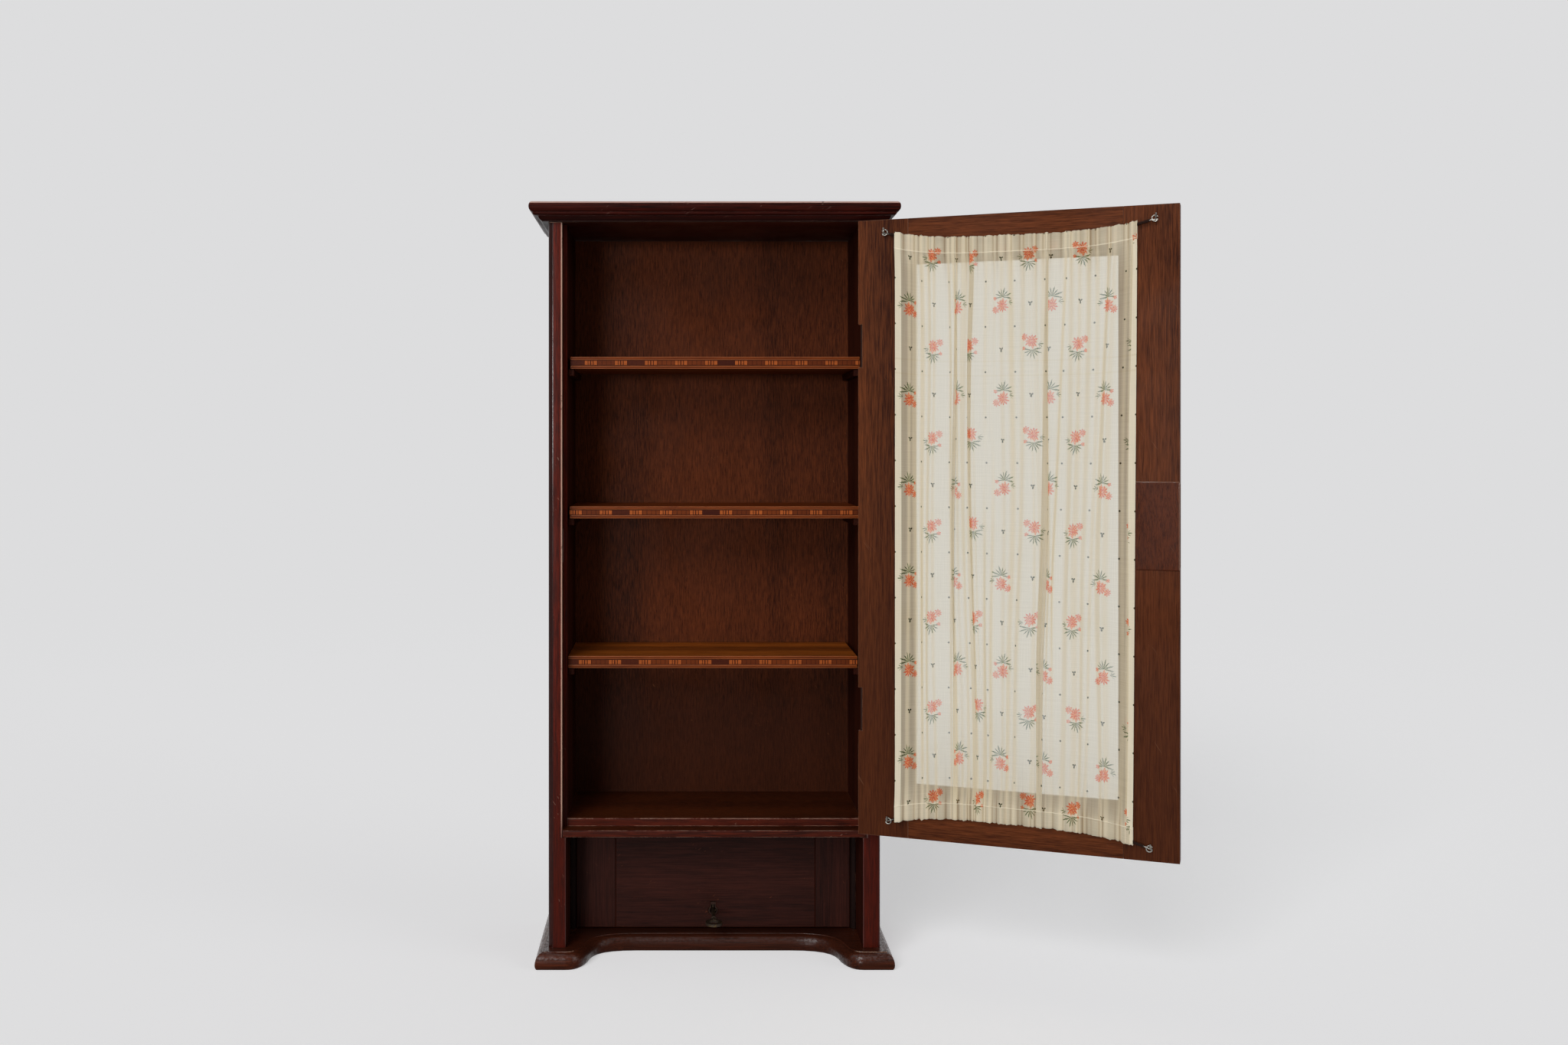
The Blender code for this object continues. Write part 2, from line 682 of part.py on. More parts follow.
def make_door_lock(door):
    case = box("door_lock_case", LOCK_X, LOCK_Y, LOCK_Z, STEEL, 0.5, 1.0)
    room_y = (BOLT_Y[0] - BOLT_PLAY, BOLT_Y[1] + BOLT_PLAY)
    room_z = (BOLT_Z[0] - BOLT_PLAY, BOLT_Z[1] + BOLT_PLAY)
    way_x = (LOCK_X[0] - PAST, LOCK_X[0] + BOLT_L + PAST)
    cut(case, cutter("door_bolt_way", way_x, room_y, room_z))
    hang(case, door)
    bolt = box("door_lock_bolt", (LOCK_X[0], LOCK_X[0] + BOLT_L), BOLT_Y, BOLT_Z, BRASS, 0.35, 1.0)
    hang(bolt, door)
    cover = box(
        "door_lock_cover",
        (-DOOR_HALF, -FACE_X),
        (DOOR_IN + TOUCH, DOOR_IN + TOUCH + LOCK_COVER_T),
        LOCK_COVER_Z,
        WOOD_MID,
    )
    ease(cover, 0.7)
    hang(cover, door)
    plate = oval((KEYHOLE_X, KEYHOLE_Z - KEYHOLE_R), 8.0, 13.0, 0.0, 342.0, 19)
    plate_y = (FRONT - TOUCH - 1.0, FRONT - TOUCH)
    escutcheon = prism("door_escutcheon", plate, "Y", *plate_y, BRASS, 0.35, 1.0)
    outline = keyhole(KEYHOLE_X, KEYHOLE_Z, KEYHOLE_R, -1)
    cut(escutcheon, prism("cut_plate_keyhole", outline, "Y", FRONT - PAST, FRONT + PAST, IRON))
    hang(escutcheon, door)


WIRE_OUT = 6.0
WIRE_R = 2.1
# Each hook's X and Z on the door's inner face, shut, and how far the cloth draws each wire.
HOOKS = {
    "top_hinge": (DOOR_HALF - 35.0, DOOR_Z1 - 17.5),
    "top_free": (-DOOR_HALF + 27.0, DOOR_Z1 - 17.5),
    "bottom_hinge": (DOOR_HALF - 39.5, DOOR_Z0 + 21.6),
    "bottom_free": (-DOOR_HALF + 33.5, DOOR_Z0 + 16.6),
}
WIRE_DRAW = {"top": -15.3, "bottom": 16.0}
HOOK_R = 1.1
HOOK_IN = 8.0
RING_R = 3.6
RING_WIRE = 0.8
# Distance from the ring, rise and radius where the ring's thin wire widens into the run.
WIRE_NECK = ((0.2, 1.1, RING_WIRE), (2.2, 0.2, RING_WIRE), (3.8, 0.0, 1.4), (5.0, 0.0, WIRE_R))


def wire_height(x, end):
    """The wire's height: straight from hook to hook, then drawn towards the middle by the cloth."""
    hinge = HOOKS[end + "_hinge"]
    free = HOOKS[end + "_free"]
    share = min(max((x - free[0]) / (hinge[0] - free[0]), 0.0), 1.0)
    line = free[1] + (hinge[1] - free[1]) * share
    return line + WIRE_DRAW[end] * (1.0 - abs(2.0 * share - 1.0) ** 3.5)


def make_wire(end, door):
    """A sprung curtain wire: an open ring at each end round its hook, and the thicker run between."""
    plane = DOOR_IN + WIRE_OUT
    path = []
    radii = []
    for sign, edge in ((1, "_hinge"), (-1, "_free")):
        hook_x, base = HOOKS[end + edge]
        middle = hook_x - sign * (RING_R - RING_WIRE - HOOK_R - 0.5)
        ring = []
        for i in range(13):
            turn = math.radians(35.0 + 300.0 * i / 12)
            ring.append((middle - sign * RING_R * math.cos(turn), plane, base + RING_R * math.sin(turn)))
        ring = ring[::-1] if sign > 0 else ring
        start = middle - sign * RING_R
        run = []
        for reach, rise, radius in WIRE_NECK:
            x = start - sign * reach
            run.append(((x, plane, wire_height(x, end) + rise), radius))
        if sign > 0:
            ring = [(p[0], p[1] + 1.0 - i / 12.0, p[2]) for i, p in enumerate(ring)]
            path += ring
            radii += [RING_WIRE] * 13
            path += [p for p, r in run]
            radii += [r for p, r in run]
            inner_start = run[-1][0][0]
        else:
            inner_end = run[-1][0][0]
            for i in range(1, 24):
                x = inner_start + (inner_end - inner_start) * i / 24.0
                path.append((x, plane, wire_height(x, end)))
                radii.append(WIRE_R)
            path += [p for p, r in reversed(run)]
            radii += [r for p, r in reversed(run)]
            ring = [(p[0], p[1] + i / 12.0, p[2]) for i, p in enumerate(ring)]
            path += ring
            radii += [RING_WIRE] * 13
    hang(tube("curtain_wire_" + end, path, radii, 8, STEEL, 0.35, 1.0), door)


def make_hook(name, x, z, door):
    """A screw hook: its shank stands in the stile, and its end turns up in front of the wire's ring."""
    bend = 2.0
    corner = (DOOR_IN + WIRE_OUT + RING_WIRE - TOUCH / 2, z + bend)
    path = [(x, DOOR_IN - HOOK_IN, z), (x, DOOR_IN, z)]
    path += [(x, y, up) for y, up in oval(corner, bend, bend, -90.0, 0.0, 3)]
    path.append((x, corner[0] + bend, z + RING_R + WIRE_R + TOUCH))
    made = tube(name, path, [HOOK_R] * len(path), 8, BRASS, 0.4, 1.0)
    hang(made, door)


def fold(share):
    """How far the cloth stands off its middle plane, across its width."""
    wide = math.sin(2 * math.pi * 8.0 * share + 0.6)
    slow = math.sin(2 * math.pi * 3.0 * share + 2.1)
    return 1.35 * wide + 0.65 * slow


def make_curtain(door):
    """A gathered curtain: the sheet turns over each wire and comes back down behind it."""
    columns = 37
    around = WIRE_R + 0.6 + CLOTH_T / 2
    low_hem = [(-around, 13.0), (-around, 0.0), (-0.7 * around, -0.7 * around), (0.0, -around)]
    low_hem += [(0.7 * around, -0.7 * around), (around, 0.0), (around, 13.0)]
    high_hem = [(around, -14.0), (around, 0.0), (0.7 * around, 0.7 * around), (0.0, around)]
    high_hem += [(-0.7 * around, 0.7 * around), (-around, 0.0), (-around, -14.0)]
    rows = []
    for c in range(columns):
        share = c / (columns - 1)
        x = CURTAIN_MID + CURTAIN_W / 2 - CURTAIN_W * share
        wave = fold(share)
        low = wire_height(x, "bottom")
        high = wire_height(x, "top")
        line = []
        for out, up in low_hem:
            line.append((x, DOOR_IN + WIRE_OUT + out, low + up))
        for part in (0.06, 0.5, 0.94):
            z = low + 13.0 + (high - low - 27.0) * part
            swell = 1.0 + 0.012 * math.sin(math.pi * part)
            middle = CURTAIN_MID + (x - CURTAIN_MID) * swell
            line.append((middle, DOOR_IN + WIRE_OUT + 0.2 + wave, z))
        for out, up in high_hem:
            line.append((x, DOOR_IN + WIRE_OUT + out, high + up))
        rows.append(line)
    tall = len(rows[0])
    points = [p for line in rows for p in line]
    faces = []
    for c in range(columns - 1):
        for r in range(tall - 1):
            faces.append((c * tall + r, c * tall + r + 1, (c + 1) * tall + r + 1, (c + 1) * tall + r))
    made = solid("curtain", points, faces, CLOTH, 0.9)
    step = made.modifiers.new("cloth_thickness", "SOLIDIFY")
    step.thickness = CLOTH_T * MM
    step.offset = 0.0
    step.use_rim = True
    hang(made, door)


UPPER_HINGE = DOOR_Z1 - HINGE_END - HINGE_H
LOWER_HINGE = DOOR_Z0 + HINGE_END


def make_door():
    door = pivot("door_pivot", (PIN_X, PIN_Y, 0.0))
    make_door_frame(door)
    make_glazing(door)
    make_door_lock(door)
    make_hinge("lower", LOWER_HINGE, door)
    make_hinge("upper", UPPER_HINGE, door)
    make_wire("top", door)
    make_wire("bottom", door)
    for label, (x, z) in HOOKS.items():
        make_hook("curtain_hook_" + label, x, z, door)
    make_curtain(door)
    door.rotation_euler = (0.0, 0.0, math.radians(DOOR_OPEN_DEG))


FLAP_HALF = INNER - TOUCH - FLAP_JAMB_W - FLAP_GAP
FLAP_Y = (FRONT + FLAP_FRONT, FRONT + FLAP_FRONT + FLAP_T)
FLAP_Z = (PLINTH_T + FLAP_UNDER, FLOOR_Z - FLAP_OVER)
FLAP_PIN_Y = FLAP_Y[0] - 1.5
FLAP_PIN_Z = FLAP_Z[1] - 0.6
FLAP_BARREL_R = 2.3
FLAP_PIN_R = 0.9
FLAP_LEAF_T = 1.6
FLAP_LEAF_D = 11.0
FLAP_LEAF_L = 34.0
FLAP_HINGE_X = (FLAP_HINGE_IN - FLAP_HALF, FLAP_HALF - FLAP_HINGE_IN)
FLAP_LOCK_X = (-43.0, 21.0)
FLAP_LOCK_Y = (FLAP_Y[0] + 5.6, FLAP_Y[1] - 0.4)
FLAP_LOCK_Z = (FLAP_Z[0] + 0.2, FLAP_Z[0] + 42.0)
FLAP_BOLT_X = (-26.0, -13.0)
FLAP_BOLT_Y = (FLAP_LOCK_Y[0] + 2.2, FLAP_LOCK_Y[0] + 7.2)
FLAP_BOLT_Z = (FLAP_Z[0] + 0.4, FLAP_Z[0] + 22.0)
FLAP_BOLT_THROW = 6.0
LINER_R = 6.6
LINER_SLOT = 1.75
LINER_T = 2.0
KEY_R = 2.5
KEY_IN = 6.0
KEY_BIT = 7.6
KEY_SHANK = 42.0
BOW_LONG = 25.0
BOW_WIDE = 22.5
BOW_THICK = 3.4


def flap_knuckle(name, low, high, radius):
    return prism(name, disc((FLAP_PIN_Y, FLAP_PIN_Z), radius, 12), "X", low, high, IRON, 0.5, 1.0)


def make_flap_hinge(label, centre, flap):
    low = centre - FLAP_LEAF_L / 2
    high = centre + FLAP_LEAF_L / 2
    third = (FLAP_LEAF_L - 2 * TOUCH) / 3
    mid = (low + third + TOUCH, high - third - TOUCH)
    start = FLAP_PIN_Y + FLAP_BARREL_R + 0.5
    leaf_y = (start, start + FLAP_LEAF_D)
    tab_y = (FLAP_PIN_Y, start + 2.0)
    upper = (FLAP_PIN_Z + FLAP_BARREL_R - FLAP_LEAF_T, FLAP_PIN_Z + FLAP_BARREL_R)
    fixed = box("flap_hinge_" + label + "_case_leaf", (low, high), leaf_y, upper, IRON, 0.5, 1.0)
    for part, a, b in (("a", low, low + third), ("b", high - third, high)):
        join(fixed, box("flap_tab_" + label + part, (a, b), tab_y, upper, IRON))
        join(fixed, flap_knuckle("flap_knuckle_" + label + part, a, b, FLAP_BARREL_R))
    join(fixed, flap_knuckle("flap_pin_" + label, low + 1.0, high - 1.0, FLAP_PIN_R))
    under = (FLAP_PIN_Z - FLAP_BARREL_R, FLAP_PIN_Z - FLAP_BARREL_R + FLAP_LEAF_T)
    moving = box("flap_hinge_" + label + "_flap_leaf", (low, high), leaf_y, under, IRON, 0.5, 1.0)
    join(moving, box("flap_tab_" + label + "mid", mid, tab_y, under, IRON))
    join(moving, flap_knuckle("flap_knuckle_" + label + "mid", mid[0], mid[1], FLAP_BARREL_R))
    cut(moving, flap_knuckle("flap_bore_" + label, low - PAST, high + PAST, FLAP_PIN_R + PIN_PLAY))
    hang(moving, flap)


def make_flap_board(flap):
    joint_l = FLAP_CLAMP_L - FLAP_HALF
    joint_r = FLAP_HALF - FLAP_CLAMP_R
    centre = box("flap_board", (joint_l + TOUCH, joint_r - TOUCH), FLAP_Y, FLAP_Z, WOOD_MID)
    seat_y = (FLAP_LOCK_Y[0] - TOUCH, FLAP_Y[1] + PAST)
    seat_x = (FLAP_LOCK_X[0] - TOUCH, FLAP_LOCK_X[1] + TOUCH)
    cut(centre, cutter("flap_lock_seat", seat_x, seat_y, (FLAP_Z[0] - PAST, FLAP_LOCK_Z[1] + TOUCH)))
    outline = keyhole(0.0, KEY_Z, LINER_R + TOUCH, 1, LINER_SLOT)
    cut(centre, prism("cut_flap_keyhole", outline, "Y", FLAP_Y[0] - PAST, FLAP_LOCK_Y[0] + TOUCH, IRON))
    for label, middle in zip(("left", "right"), FLAP_HINGE_X):
        half = FLAP_LEAF_L / 2 + TOUCH
        notch_y = (FLAP_Y[0] - PAST, FLAP_Y[1] + PAST)
        notch_z = (FLAP_PIN_Z - FLAP_BARREL_R - TOUCH, FLAP_Z[1] + PAST)
        cut(centre, cutter("flap_notch_" + label, (middle - half, middle + half), notch_y, notch_z))
    hang(centre, flap)
    for name, ends in (
        ("flap_clamp_left", (-FLAP_HALF, joint_l)),
        ("flap_clamp_right", (joint_r, FLAP_HALF)),
    ):
        hang(box(name, ends, FLAP_Y, FLAP_Z, WOOD_MID), flap)


def make_flap_lock(flap):
    case = box("flap_lock_case", FLAP_LOCK_X, FLAP_LOCK_Y, FLAP_LOCK_Z, BRASS, 0.4, 1.0)
    room_x = (FLAP_BOLT_X[0] - BOLT_PLAY, FLAP_BOLT_X[1] + BOLT_PLAY)
    room_y = (FLAP_BOLT_Y[0] - BOLT_PLAY, FLAP_BOLT_Y[1] + BOLT_PLAY)
    cut(case, cutter("flap_bolt_way", room_x, room_y, (FLAP_LOCK_Z[0] - PAST, FLAP_BOLT_Z[1] + BOLT_PLAY)))
    pocket = disc((0.0, KEY_Z), KEY_BIT + MORTISE_PLAY, 20)
    pocket_y = (FLAP_LOCK_Y[0] - PAST, FLAP_LOCK_Y[0] + KEY_IN + MORTISE_PLAY)
    cut(case, prism("cut_key_pocket", pocket, "Y", *pocket_y, BRASS))
    hang(case, flap)
    bolt = box("flap_lock_bolt", FLAP_BOLT_X, FLAP_BOLT_Y, FLAP_BOLT_Z, BRASS, 0.35, 1.0)
    hang(bolt, flap)
    liner_y = (FLAP_Y[0] - 0.4, FLAP_Y[0] + 4.0)
    outer = keyhole(0.0, KEY_Z, LINER_R, 1, LINER_SLOT)
    liner = prism("flap_keyhole_liner", outer, "Y", *liner_y, IRON, 0.5, 1.0)
    inner = keyhole(0.0, KEY_Z, LINER_R - LINER_T, 1, LINER_SLOT)
    cut(liner, prism("cut_liner", inner, "Y", liner_y[0] - PAST, liner_y[1] + PAST, IRON))
    hang(liner, flap)


def make_key(flap):
    """The key rests in the lock with its bow lying flat."""
    start = FLAP_LOCK_Y[0] + KEY_IN
    end = FLAP_Y[0] - KEY_SHANK
    key = prism("flap_key", disc((0.0, KEY_Z), KEY_R, 14), "Y", end - 3.0, start, BRASS, 0.35, 1.0)
    centre = end - BOW_LONG / 2
    rim = oval((0.0, centre), BOW_WIDE / 2, BOW_LONG / 2, 0.0, 345.0, 23)
    hole = oval((0.0, centre), BOW_WIDE * 0.30, BOW_LONG * 0.28, 0.0, 337.5, 15)
    half = BOW_THICK / 2
    bow = prism("key_bow", rim, "Z", KEY_Z - half, KEY_Z + half, BRASS)
    cut(bow, prism("key_bow_hole", hole, "Z", KEY_Z - PAST, KEY_Z + PAST, BRASS))
    join(key, bow)
    join(key, prism("key_collar", disc((0.0, KEY_Z), 3.7, 14), "Y", end + 4.0, end + 7.0, BRASS))
    bit_z = (KEY_Z + KEY_R / 2, KEY_Z + KEY_BIT)
    bit = box("key_bit", (-1.2, 1.2), (start - 5.0, start - 1.0), bit_z, BRASS)
    join(key, bit)
    hang(key, flap)


def make_flap():
    flap = pivot("flap_pivot", (0.0, FLAP_PIN_Y, FLAP_PIN_Z))
    make_flap_board(flap)
    make_flap_lock(flap)
    make_key(flap)
    for label, middle in zip(("left", "right"), FLAP_HINGE_X):
        make_flap_hinge(label, middle, flap)
    jamb_in = FLAP_HALF + FLAP_GAP
    jamb_out = jamb_in + FLAP_JAMB_W
    for name, sign in (("flap_jamb_left", -1), ("flap_jamb_right", 1)):
        round_y = FLAP_Y[0] - 2.0
        outline = [(sign * jamb_out, FLAP_Y[1]), (sign * jamb_out, round_y)]
        outline += [(sign * (jamb_in + 4.0), round_y + 0.2), (sign * (jamb_in + 1.4), round_y + 1.4)]
        outline += [(sign * jamb_in, round_y + 3.8), (sign * jamb_in, FLAP_Y[1])]
        prism(name, outline, "Z", PLINTH_T + TOUCH, FLOOR_Z - TOUCH, WOOD_DARK)


def main():
    clear_scene()
    make_sides()
    make_top()
    make_plinth()
    make_floor_and_back()
    make_shelves()
    make_door()
    make_flap()
    bpy.context.view_layer.update()


main()
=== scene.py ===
"""Finishes a small oak cabinet with an open glass door and a gathered muslin curtain.

The frame gives the sizes and places of the pieces. This add-on gives them eased edges, wood, metal, glass
and cloth, hangs the curtain on its two sprung wires, and sets a pale stage with three lamps.
"""

import json
import math
import random

import bmesh
import bpy
import numpy as np
from bpy.props import FloatProperty, FloatVectorProperty, IntProperty, PointerProperty
from mathutils import Matrix, Vector


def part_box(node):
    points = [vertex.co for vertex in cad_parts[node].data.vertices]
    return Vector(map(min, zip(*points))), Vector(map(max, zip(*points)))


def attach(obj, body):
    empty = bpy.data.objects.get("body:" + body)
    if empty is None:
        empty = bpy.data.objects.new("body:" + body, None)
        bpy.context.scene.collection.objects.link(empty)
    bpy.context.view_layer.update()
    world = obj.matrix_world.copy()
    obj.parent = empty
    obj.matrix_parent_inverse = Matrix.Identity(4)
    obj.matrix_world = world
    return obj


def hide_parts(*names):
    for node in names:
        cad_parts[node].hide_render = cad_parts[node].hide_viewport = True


bl_info = {
    "name": "Glass-door cabinet finish",
    "version": (1, 0, 0),
    "blender": (4, 5, 0),
    "location": "3D View > Sidebar > Cabinet",
    "description": "Woods, metals, glass, curtain and stage for a small glass-door cabinet",
    "category": "Object",
}

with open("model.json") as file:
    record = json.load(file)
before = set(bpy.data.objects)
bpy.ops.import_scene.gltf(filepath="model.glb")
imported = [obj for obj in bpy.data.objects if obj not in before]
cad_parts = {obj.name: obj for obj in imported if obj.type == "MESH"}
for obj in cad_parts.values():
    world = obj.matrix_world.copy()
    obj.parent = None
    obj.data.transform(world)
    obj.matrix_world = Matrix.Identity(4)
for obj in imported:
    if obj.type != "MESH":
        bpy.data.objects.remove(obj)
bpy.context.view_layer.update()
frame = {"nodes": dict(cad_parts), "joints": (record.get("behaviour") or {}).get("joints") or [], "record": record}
NODES = frame["nodes"]
BODY_OF = {node: body for body, nodes in frame["record"]["behaviour"]["bodies"].items() for node in nodes}
SLOT_OF = {name: node.material_slots[0].material.name for name, node in NODES.items()}
DOOR_HINGE = next(joint for joint in frame["joints"] if joint["name"] == "door_hinge")
DOOR_PIN = Vector(DOOR_HINGE["pos_m"])
DOOR_OPEN = -math.radians(DOOR_HINGE["range_deg"][0])
# Takes a point of the shut door to where it stands open
SWING = Matrix.Translation(DOOR_PIN) @ Matrix.Rotation(DOOR_OPEN, 4, "Z") @ Matrix.Translation(-DOOR_PIN)
MM = 0.001


# Settings that a user would change


def srgb(red, green, blue):
    """A colour in screen steps from 0 to 255, as the linear values that shaders use."""
    shares = (red / 255, green / 255, blue / 255)
    return tuple(s / 12.92 if s <= 0.04045 else ((s + 0.055) / 1.055) ** 2.4 for s in shares)


def colour(name, description, *steps):
    """A colour setting; its default is in screen steps."""
    return FloatVectorProperty(
        name=name, description=description, subtype="COLOR", min=0.0, max=1.0, default=srgb(*steps)
    )


def length(name, description, metres):
    """A length setting."""
    return FloatProperty(name=name, description=description, default=metres, unit="LENGTH", precision=4)


def share(name, description, value):
    """A setting from 0 to 1."""
    return FloatProperty(
        name=name, description=description, subtype="FACTOR", min=0.0, max=1.0, default=value
    )


def strength(name, description, value):
    """The setting of a lamp."""
    return FloatProperty(name=name, description=description, default=value, min=0.0)


# Each wood's label, what it covers, and its dark, light and worn colours in screen steps; the pale worn colours of
# the case, sides, plinth and cornice are partly real wear and partly a painted highlight along their arrises
WOOD_COLOURS = {
    # Case and sides: pale worn colour, partly a painted highlight on their arrises
    "case": ("Case", "the polished case", (34, 11, 6), (82, 29, 16), (204, 164, 142)),
    "stile": ("Sides", "the two sides", (42, 12, 7), (102, 28, 13), (204, 164, 142)),
    "back": ("Back", "the back panel", (38, 15, 6), (93, 44, 20), (140, 84, 50)),
    "door": ("Door", "the door's oak", (46, 19, 8), (106, 55, 27), (132, 92, 68)),
    "cover": ("Lock cover", "the lock cover and cupboard floor", (38, 15, 7), (84, 38, 16), (132, 96, 76)),
    "shelf": ("Shelf", "the shelves", (80, 32, 9), (122, 56, 19), (150, 84, 44)),
    # Painted light: the lower shelf's top is a lighter copy of the shelf's wood, as lit from above
    "tread": ("Lower shelf", "the top of the lower shelf", (84, 38, 11), (178, 96, 33), (200, 130, 70)),
    "flap": ("Flap", "the flap", (28, 12, 9), (54, 25, 19), (128, 72, 44)),
    # Plinth and cornice: pale worn colour, partly a painted highlight on their arrises
    "plinth": ("Plinth", "the plinth", (28, 13, 8), (80, 36, 20), (112, 84, 68)),
    "cornice": ("Cornice", "the cornice", (25, 8, 6), (76, 23, 15), (206, 168, 156)),
    # Painted shade: darker wood for the left side's rounded outer corner, which faces away from the lamps
    "corner": ("Corners", "the rounded front corners", (30, 9, 6), (62, 20, 13), (130, 80, 54)),
    # Painted shade: nearly black wood for the jambs in the shaded niche
    "niche": ("Niche", "the jambs beside the flap", (13, 7, 6), (28, 15, 12), (70, 42, 30)),
    # Painted shade: darker wood for the faces inside the case and the cleats; on the flap's edges it gives dark
    # joint lines
    "inside": ("Inside", "the faces inside the case", (24, 8, 5), (58, 22, 12), (100, 56, 32)),
}
# The worn tone colours rubbed edges and scratches; on the case, sides, plinth and cornice it is partly a painted
# highlight
TONES = {"dark": "Dark grain of", "light": "Light grain of", "worn": "Rubbed edges and scratches of"}


class CabinetWoods(bpy.types.PropertyGroup):
    """Colours of the woods: the dark and light of the grain, and where polish has worn off an edge."""

    band_light: colour("Banding, light", "Pale blocks of the inlaid banding", 166, 84, 36)
    band_dark: colour("Banding, dark", "Dark bars of the inlaid banding", 54, 18, 10)
    band_period: length("Banding repeat", "Length of one repeat of the inlaid banding", 0.0399)
    edge: length("Eased edge", "Rounding of the top board's edges", 0.0009)


def wood_colours():
    """Three colour settings for each wood, by name."""
    made = {}
    for finish, (label, covers, *shades) in WOOD_COLOURS.items():
        for tone, steps in zip(TONES, shades):
            made[f"{finish}_{tone}"] = colour(f"{label}, {tone}", f"{TONES[tone]} {covers}", *steps)
    return made


CabinetWoods.__annotations__.update(wood_colours())


class CabinetMetals(bpy.types.PropertyGroup):
    """Colours of the key, hinges, hooks and wires, and of the glass."""

    brass: colour("Brass", "Key and locks", 92, 74, 46)
    brass_dull: colour("Brass, tarnished", "Brown film on the brass", 44, 32, 21)
    steel: colour("Steel", "Hooks and rings", 142, 139, 132)
    steel_dull: colour("Steel, dull", "Grey film on the steel", 78, 74, 68)
    iron: colour("Iron", "Hinges and keyhole liner", 36, 29, 25)
    iron_dull: colour("Iron, rusty", "Brown rust on the iron", 46, 25, 16)
    glass: colour("Glass", "Body colour of the pane", 246, 250, 248)


class CabinetCurtain(bpy.types.PropertyGroup):
    """The curtain's cut, gathers, cloth and print."""

    flat_width: length("Flat width", "Width of the cloth before it is gathered", 0.425)
    casing: length("Casing", "Depth of the sewn casing round each wire", 0.0175)
    side_hem: length("Side hem", "Width of the doubled hem down each side", 0.0085)
    pleats: IntProperty(name="Pleats", description="Deep folds over the cloth", default=4, min=2, max=40)
    waves: IntProperty(name="Waves", description="Shallow folds between pleats", default=30, min=0, max=60)
    seed: IntProperty(name="Seed", description="Picks where the folds fall", default=11)
    cloth: colour("Cloth", "Undyed muslin", 217, 203, 176)
    # Partly painted shade: darker beige where the cloth turns away in a fold, partly for the more cloth seen there
    # at a slant
    fold: colour("Cloth in folds", "Muslin where it turns away in a fold", 203, 186, 149)
    # Painted shade in the creases of the gathers
    crease: colour("Creases", "Muslin in the creases of the gathers", 128, 98, 60)
    seam: colour("Seams", "Stitching along the casings, and doubled cloth", 232, 222, 198)
    bloom: colour("Blossom", "Main red of the printed blossoms", 202, 56, 6)
    bloom_pale: colour("Blossom, pale", "Pale petals of the printed blossoms", 228, 146, 84)
    leaf: colour("Leaf", "Green of the printed leaves", 54, 80, 4)
    dot: colour("Dot", "Dark green of the printed dots", 58, 62, 34)
    cover: share("Cover", "How much of the view one layer of the cloth hides", 0.46)
    column: length("Print columns", "Distance between columns of the print on the flat cloth", 0.0425)
    drop: length("Print repeat", "Height of one repeat of the print", 0.114)


class CabinetStage(bpy.types.PropertyGroup):
    """Background and lamps."""

    pale: colour("Background", "Floor and backdrop as the camera sees them", 221, 221, 222)
    key: strength("Key lamp", "Strength of the high lamp at the front left", 1.45)
    fill: strength("Fill lamp", "Strength of the lamp at the front right", 0.50)
    level: strength("Level lamp", "Strength of the level lamp at the front", 1.7)
    ambient: share("Ambient", "Light that comes from all round", 0.13)


class CabinetSettings(bpy.types.PropertyGroup):
    """All settings of the cabinet's finish."""

    woods: PointerProperty(type=CabinetWoods)
    metals: PointerProperty(type=CabinetMetals)
    curtain: PointerProperty(type=CabinetCurtain)
    stage: PointerProperty(type=CabinetStage)


def settings():
    """The settings that the scene holds."""
    return bpy.context.scene.cabinet


# Node trees


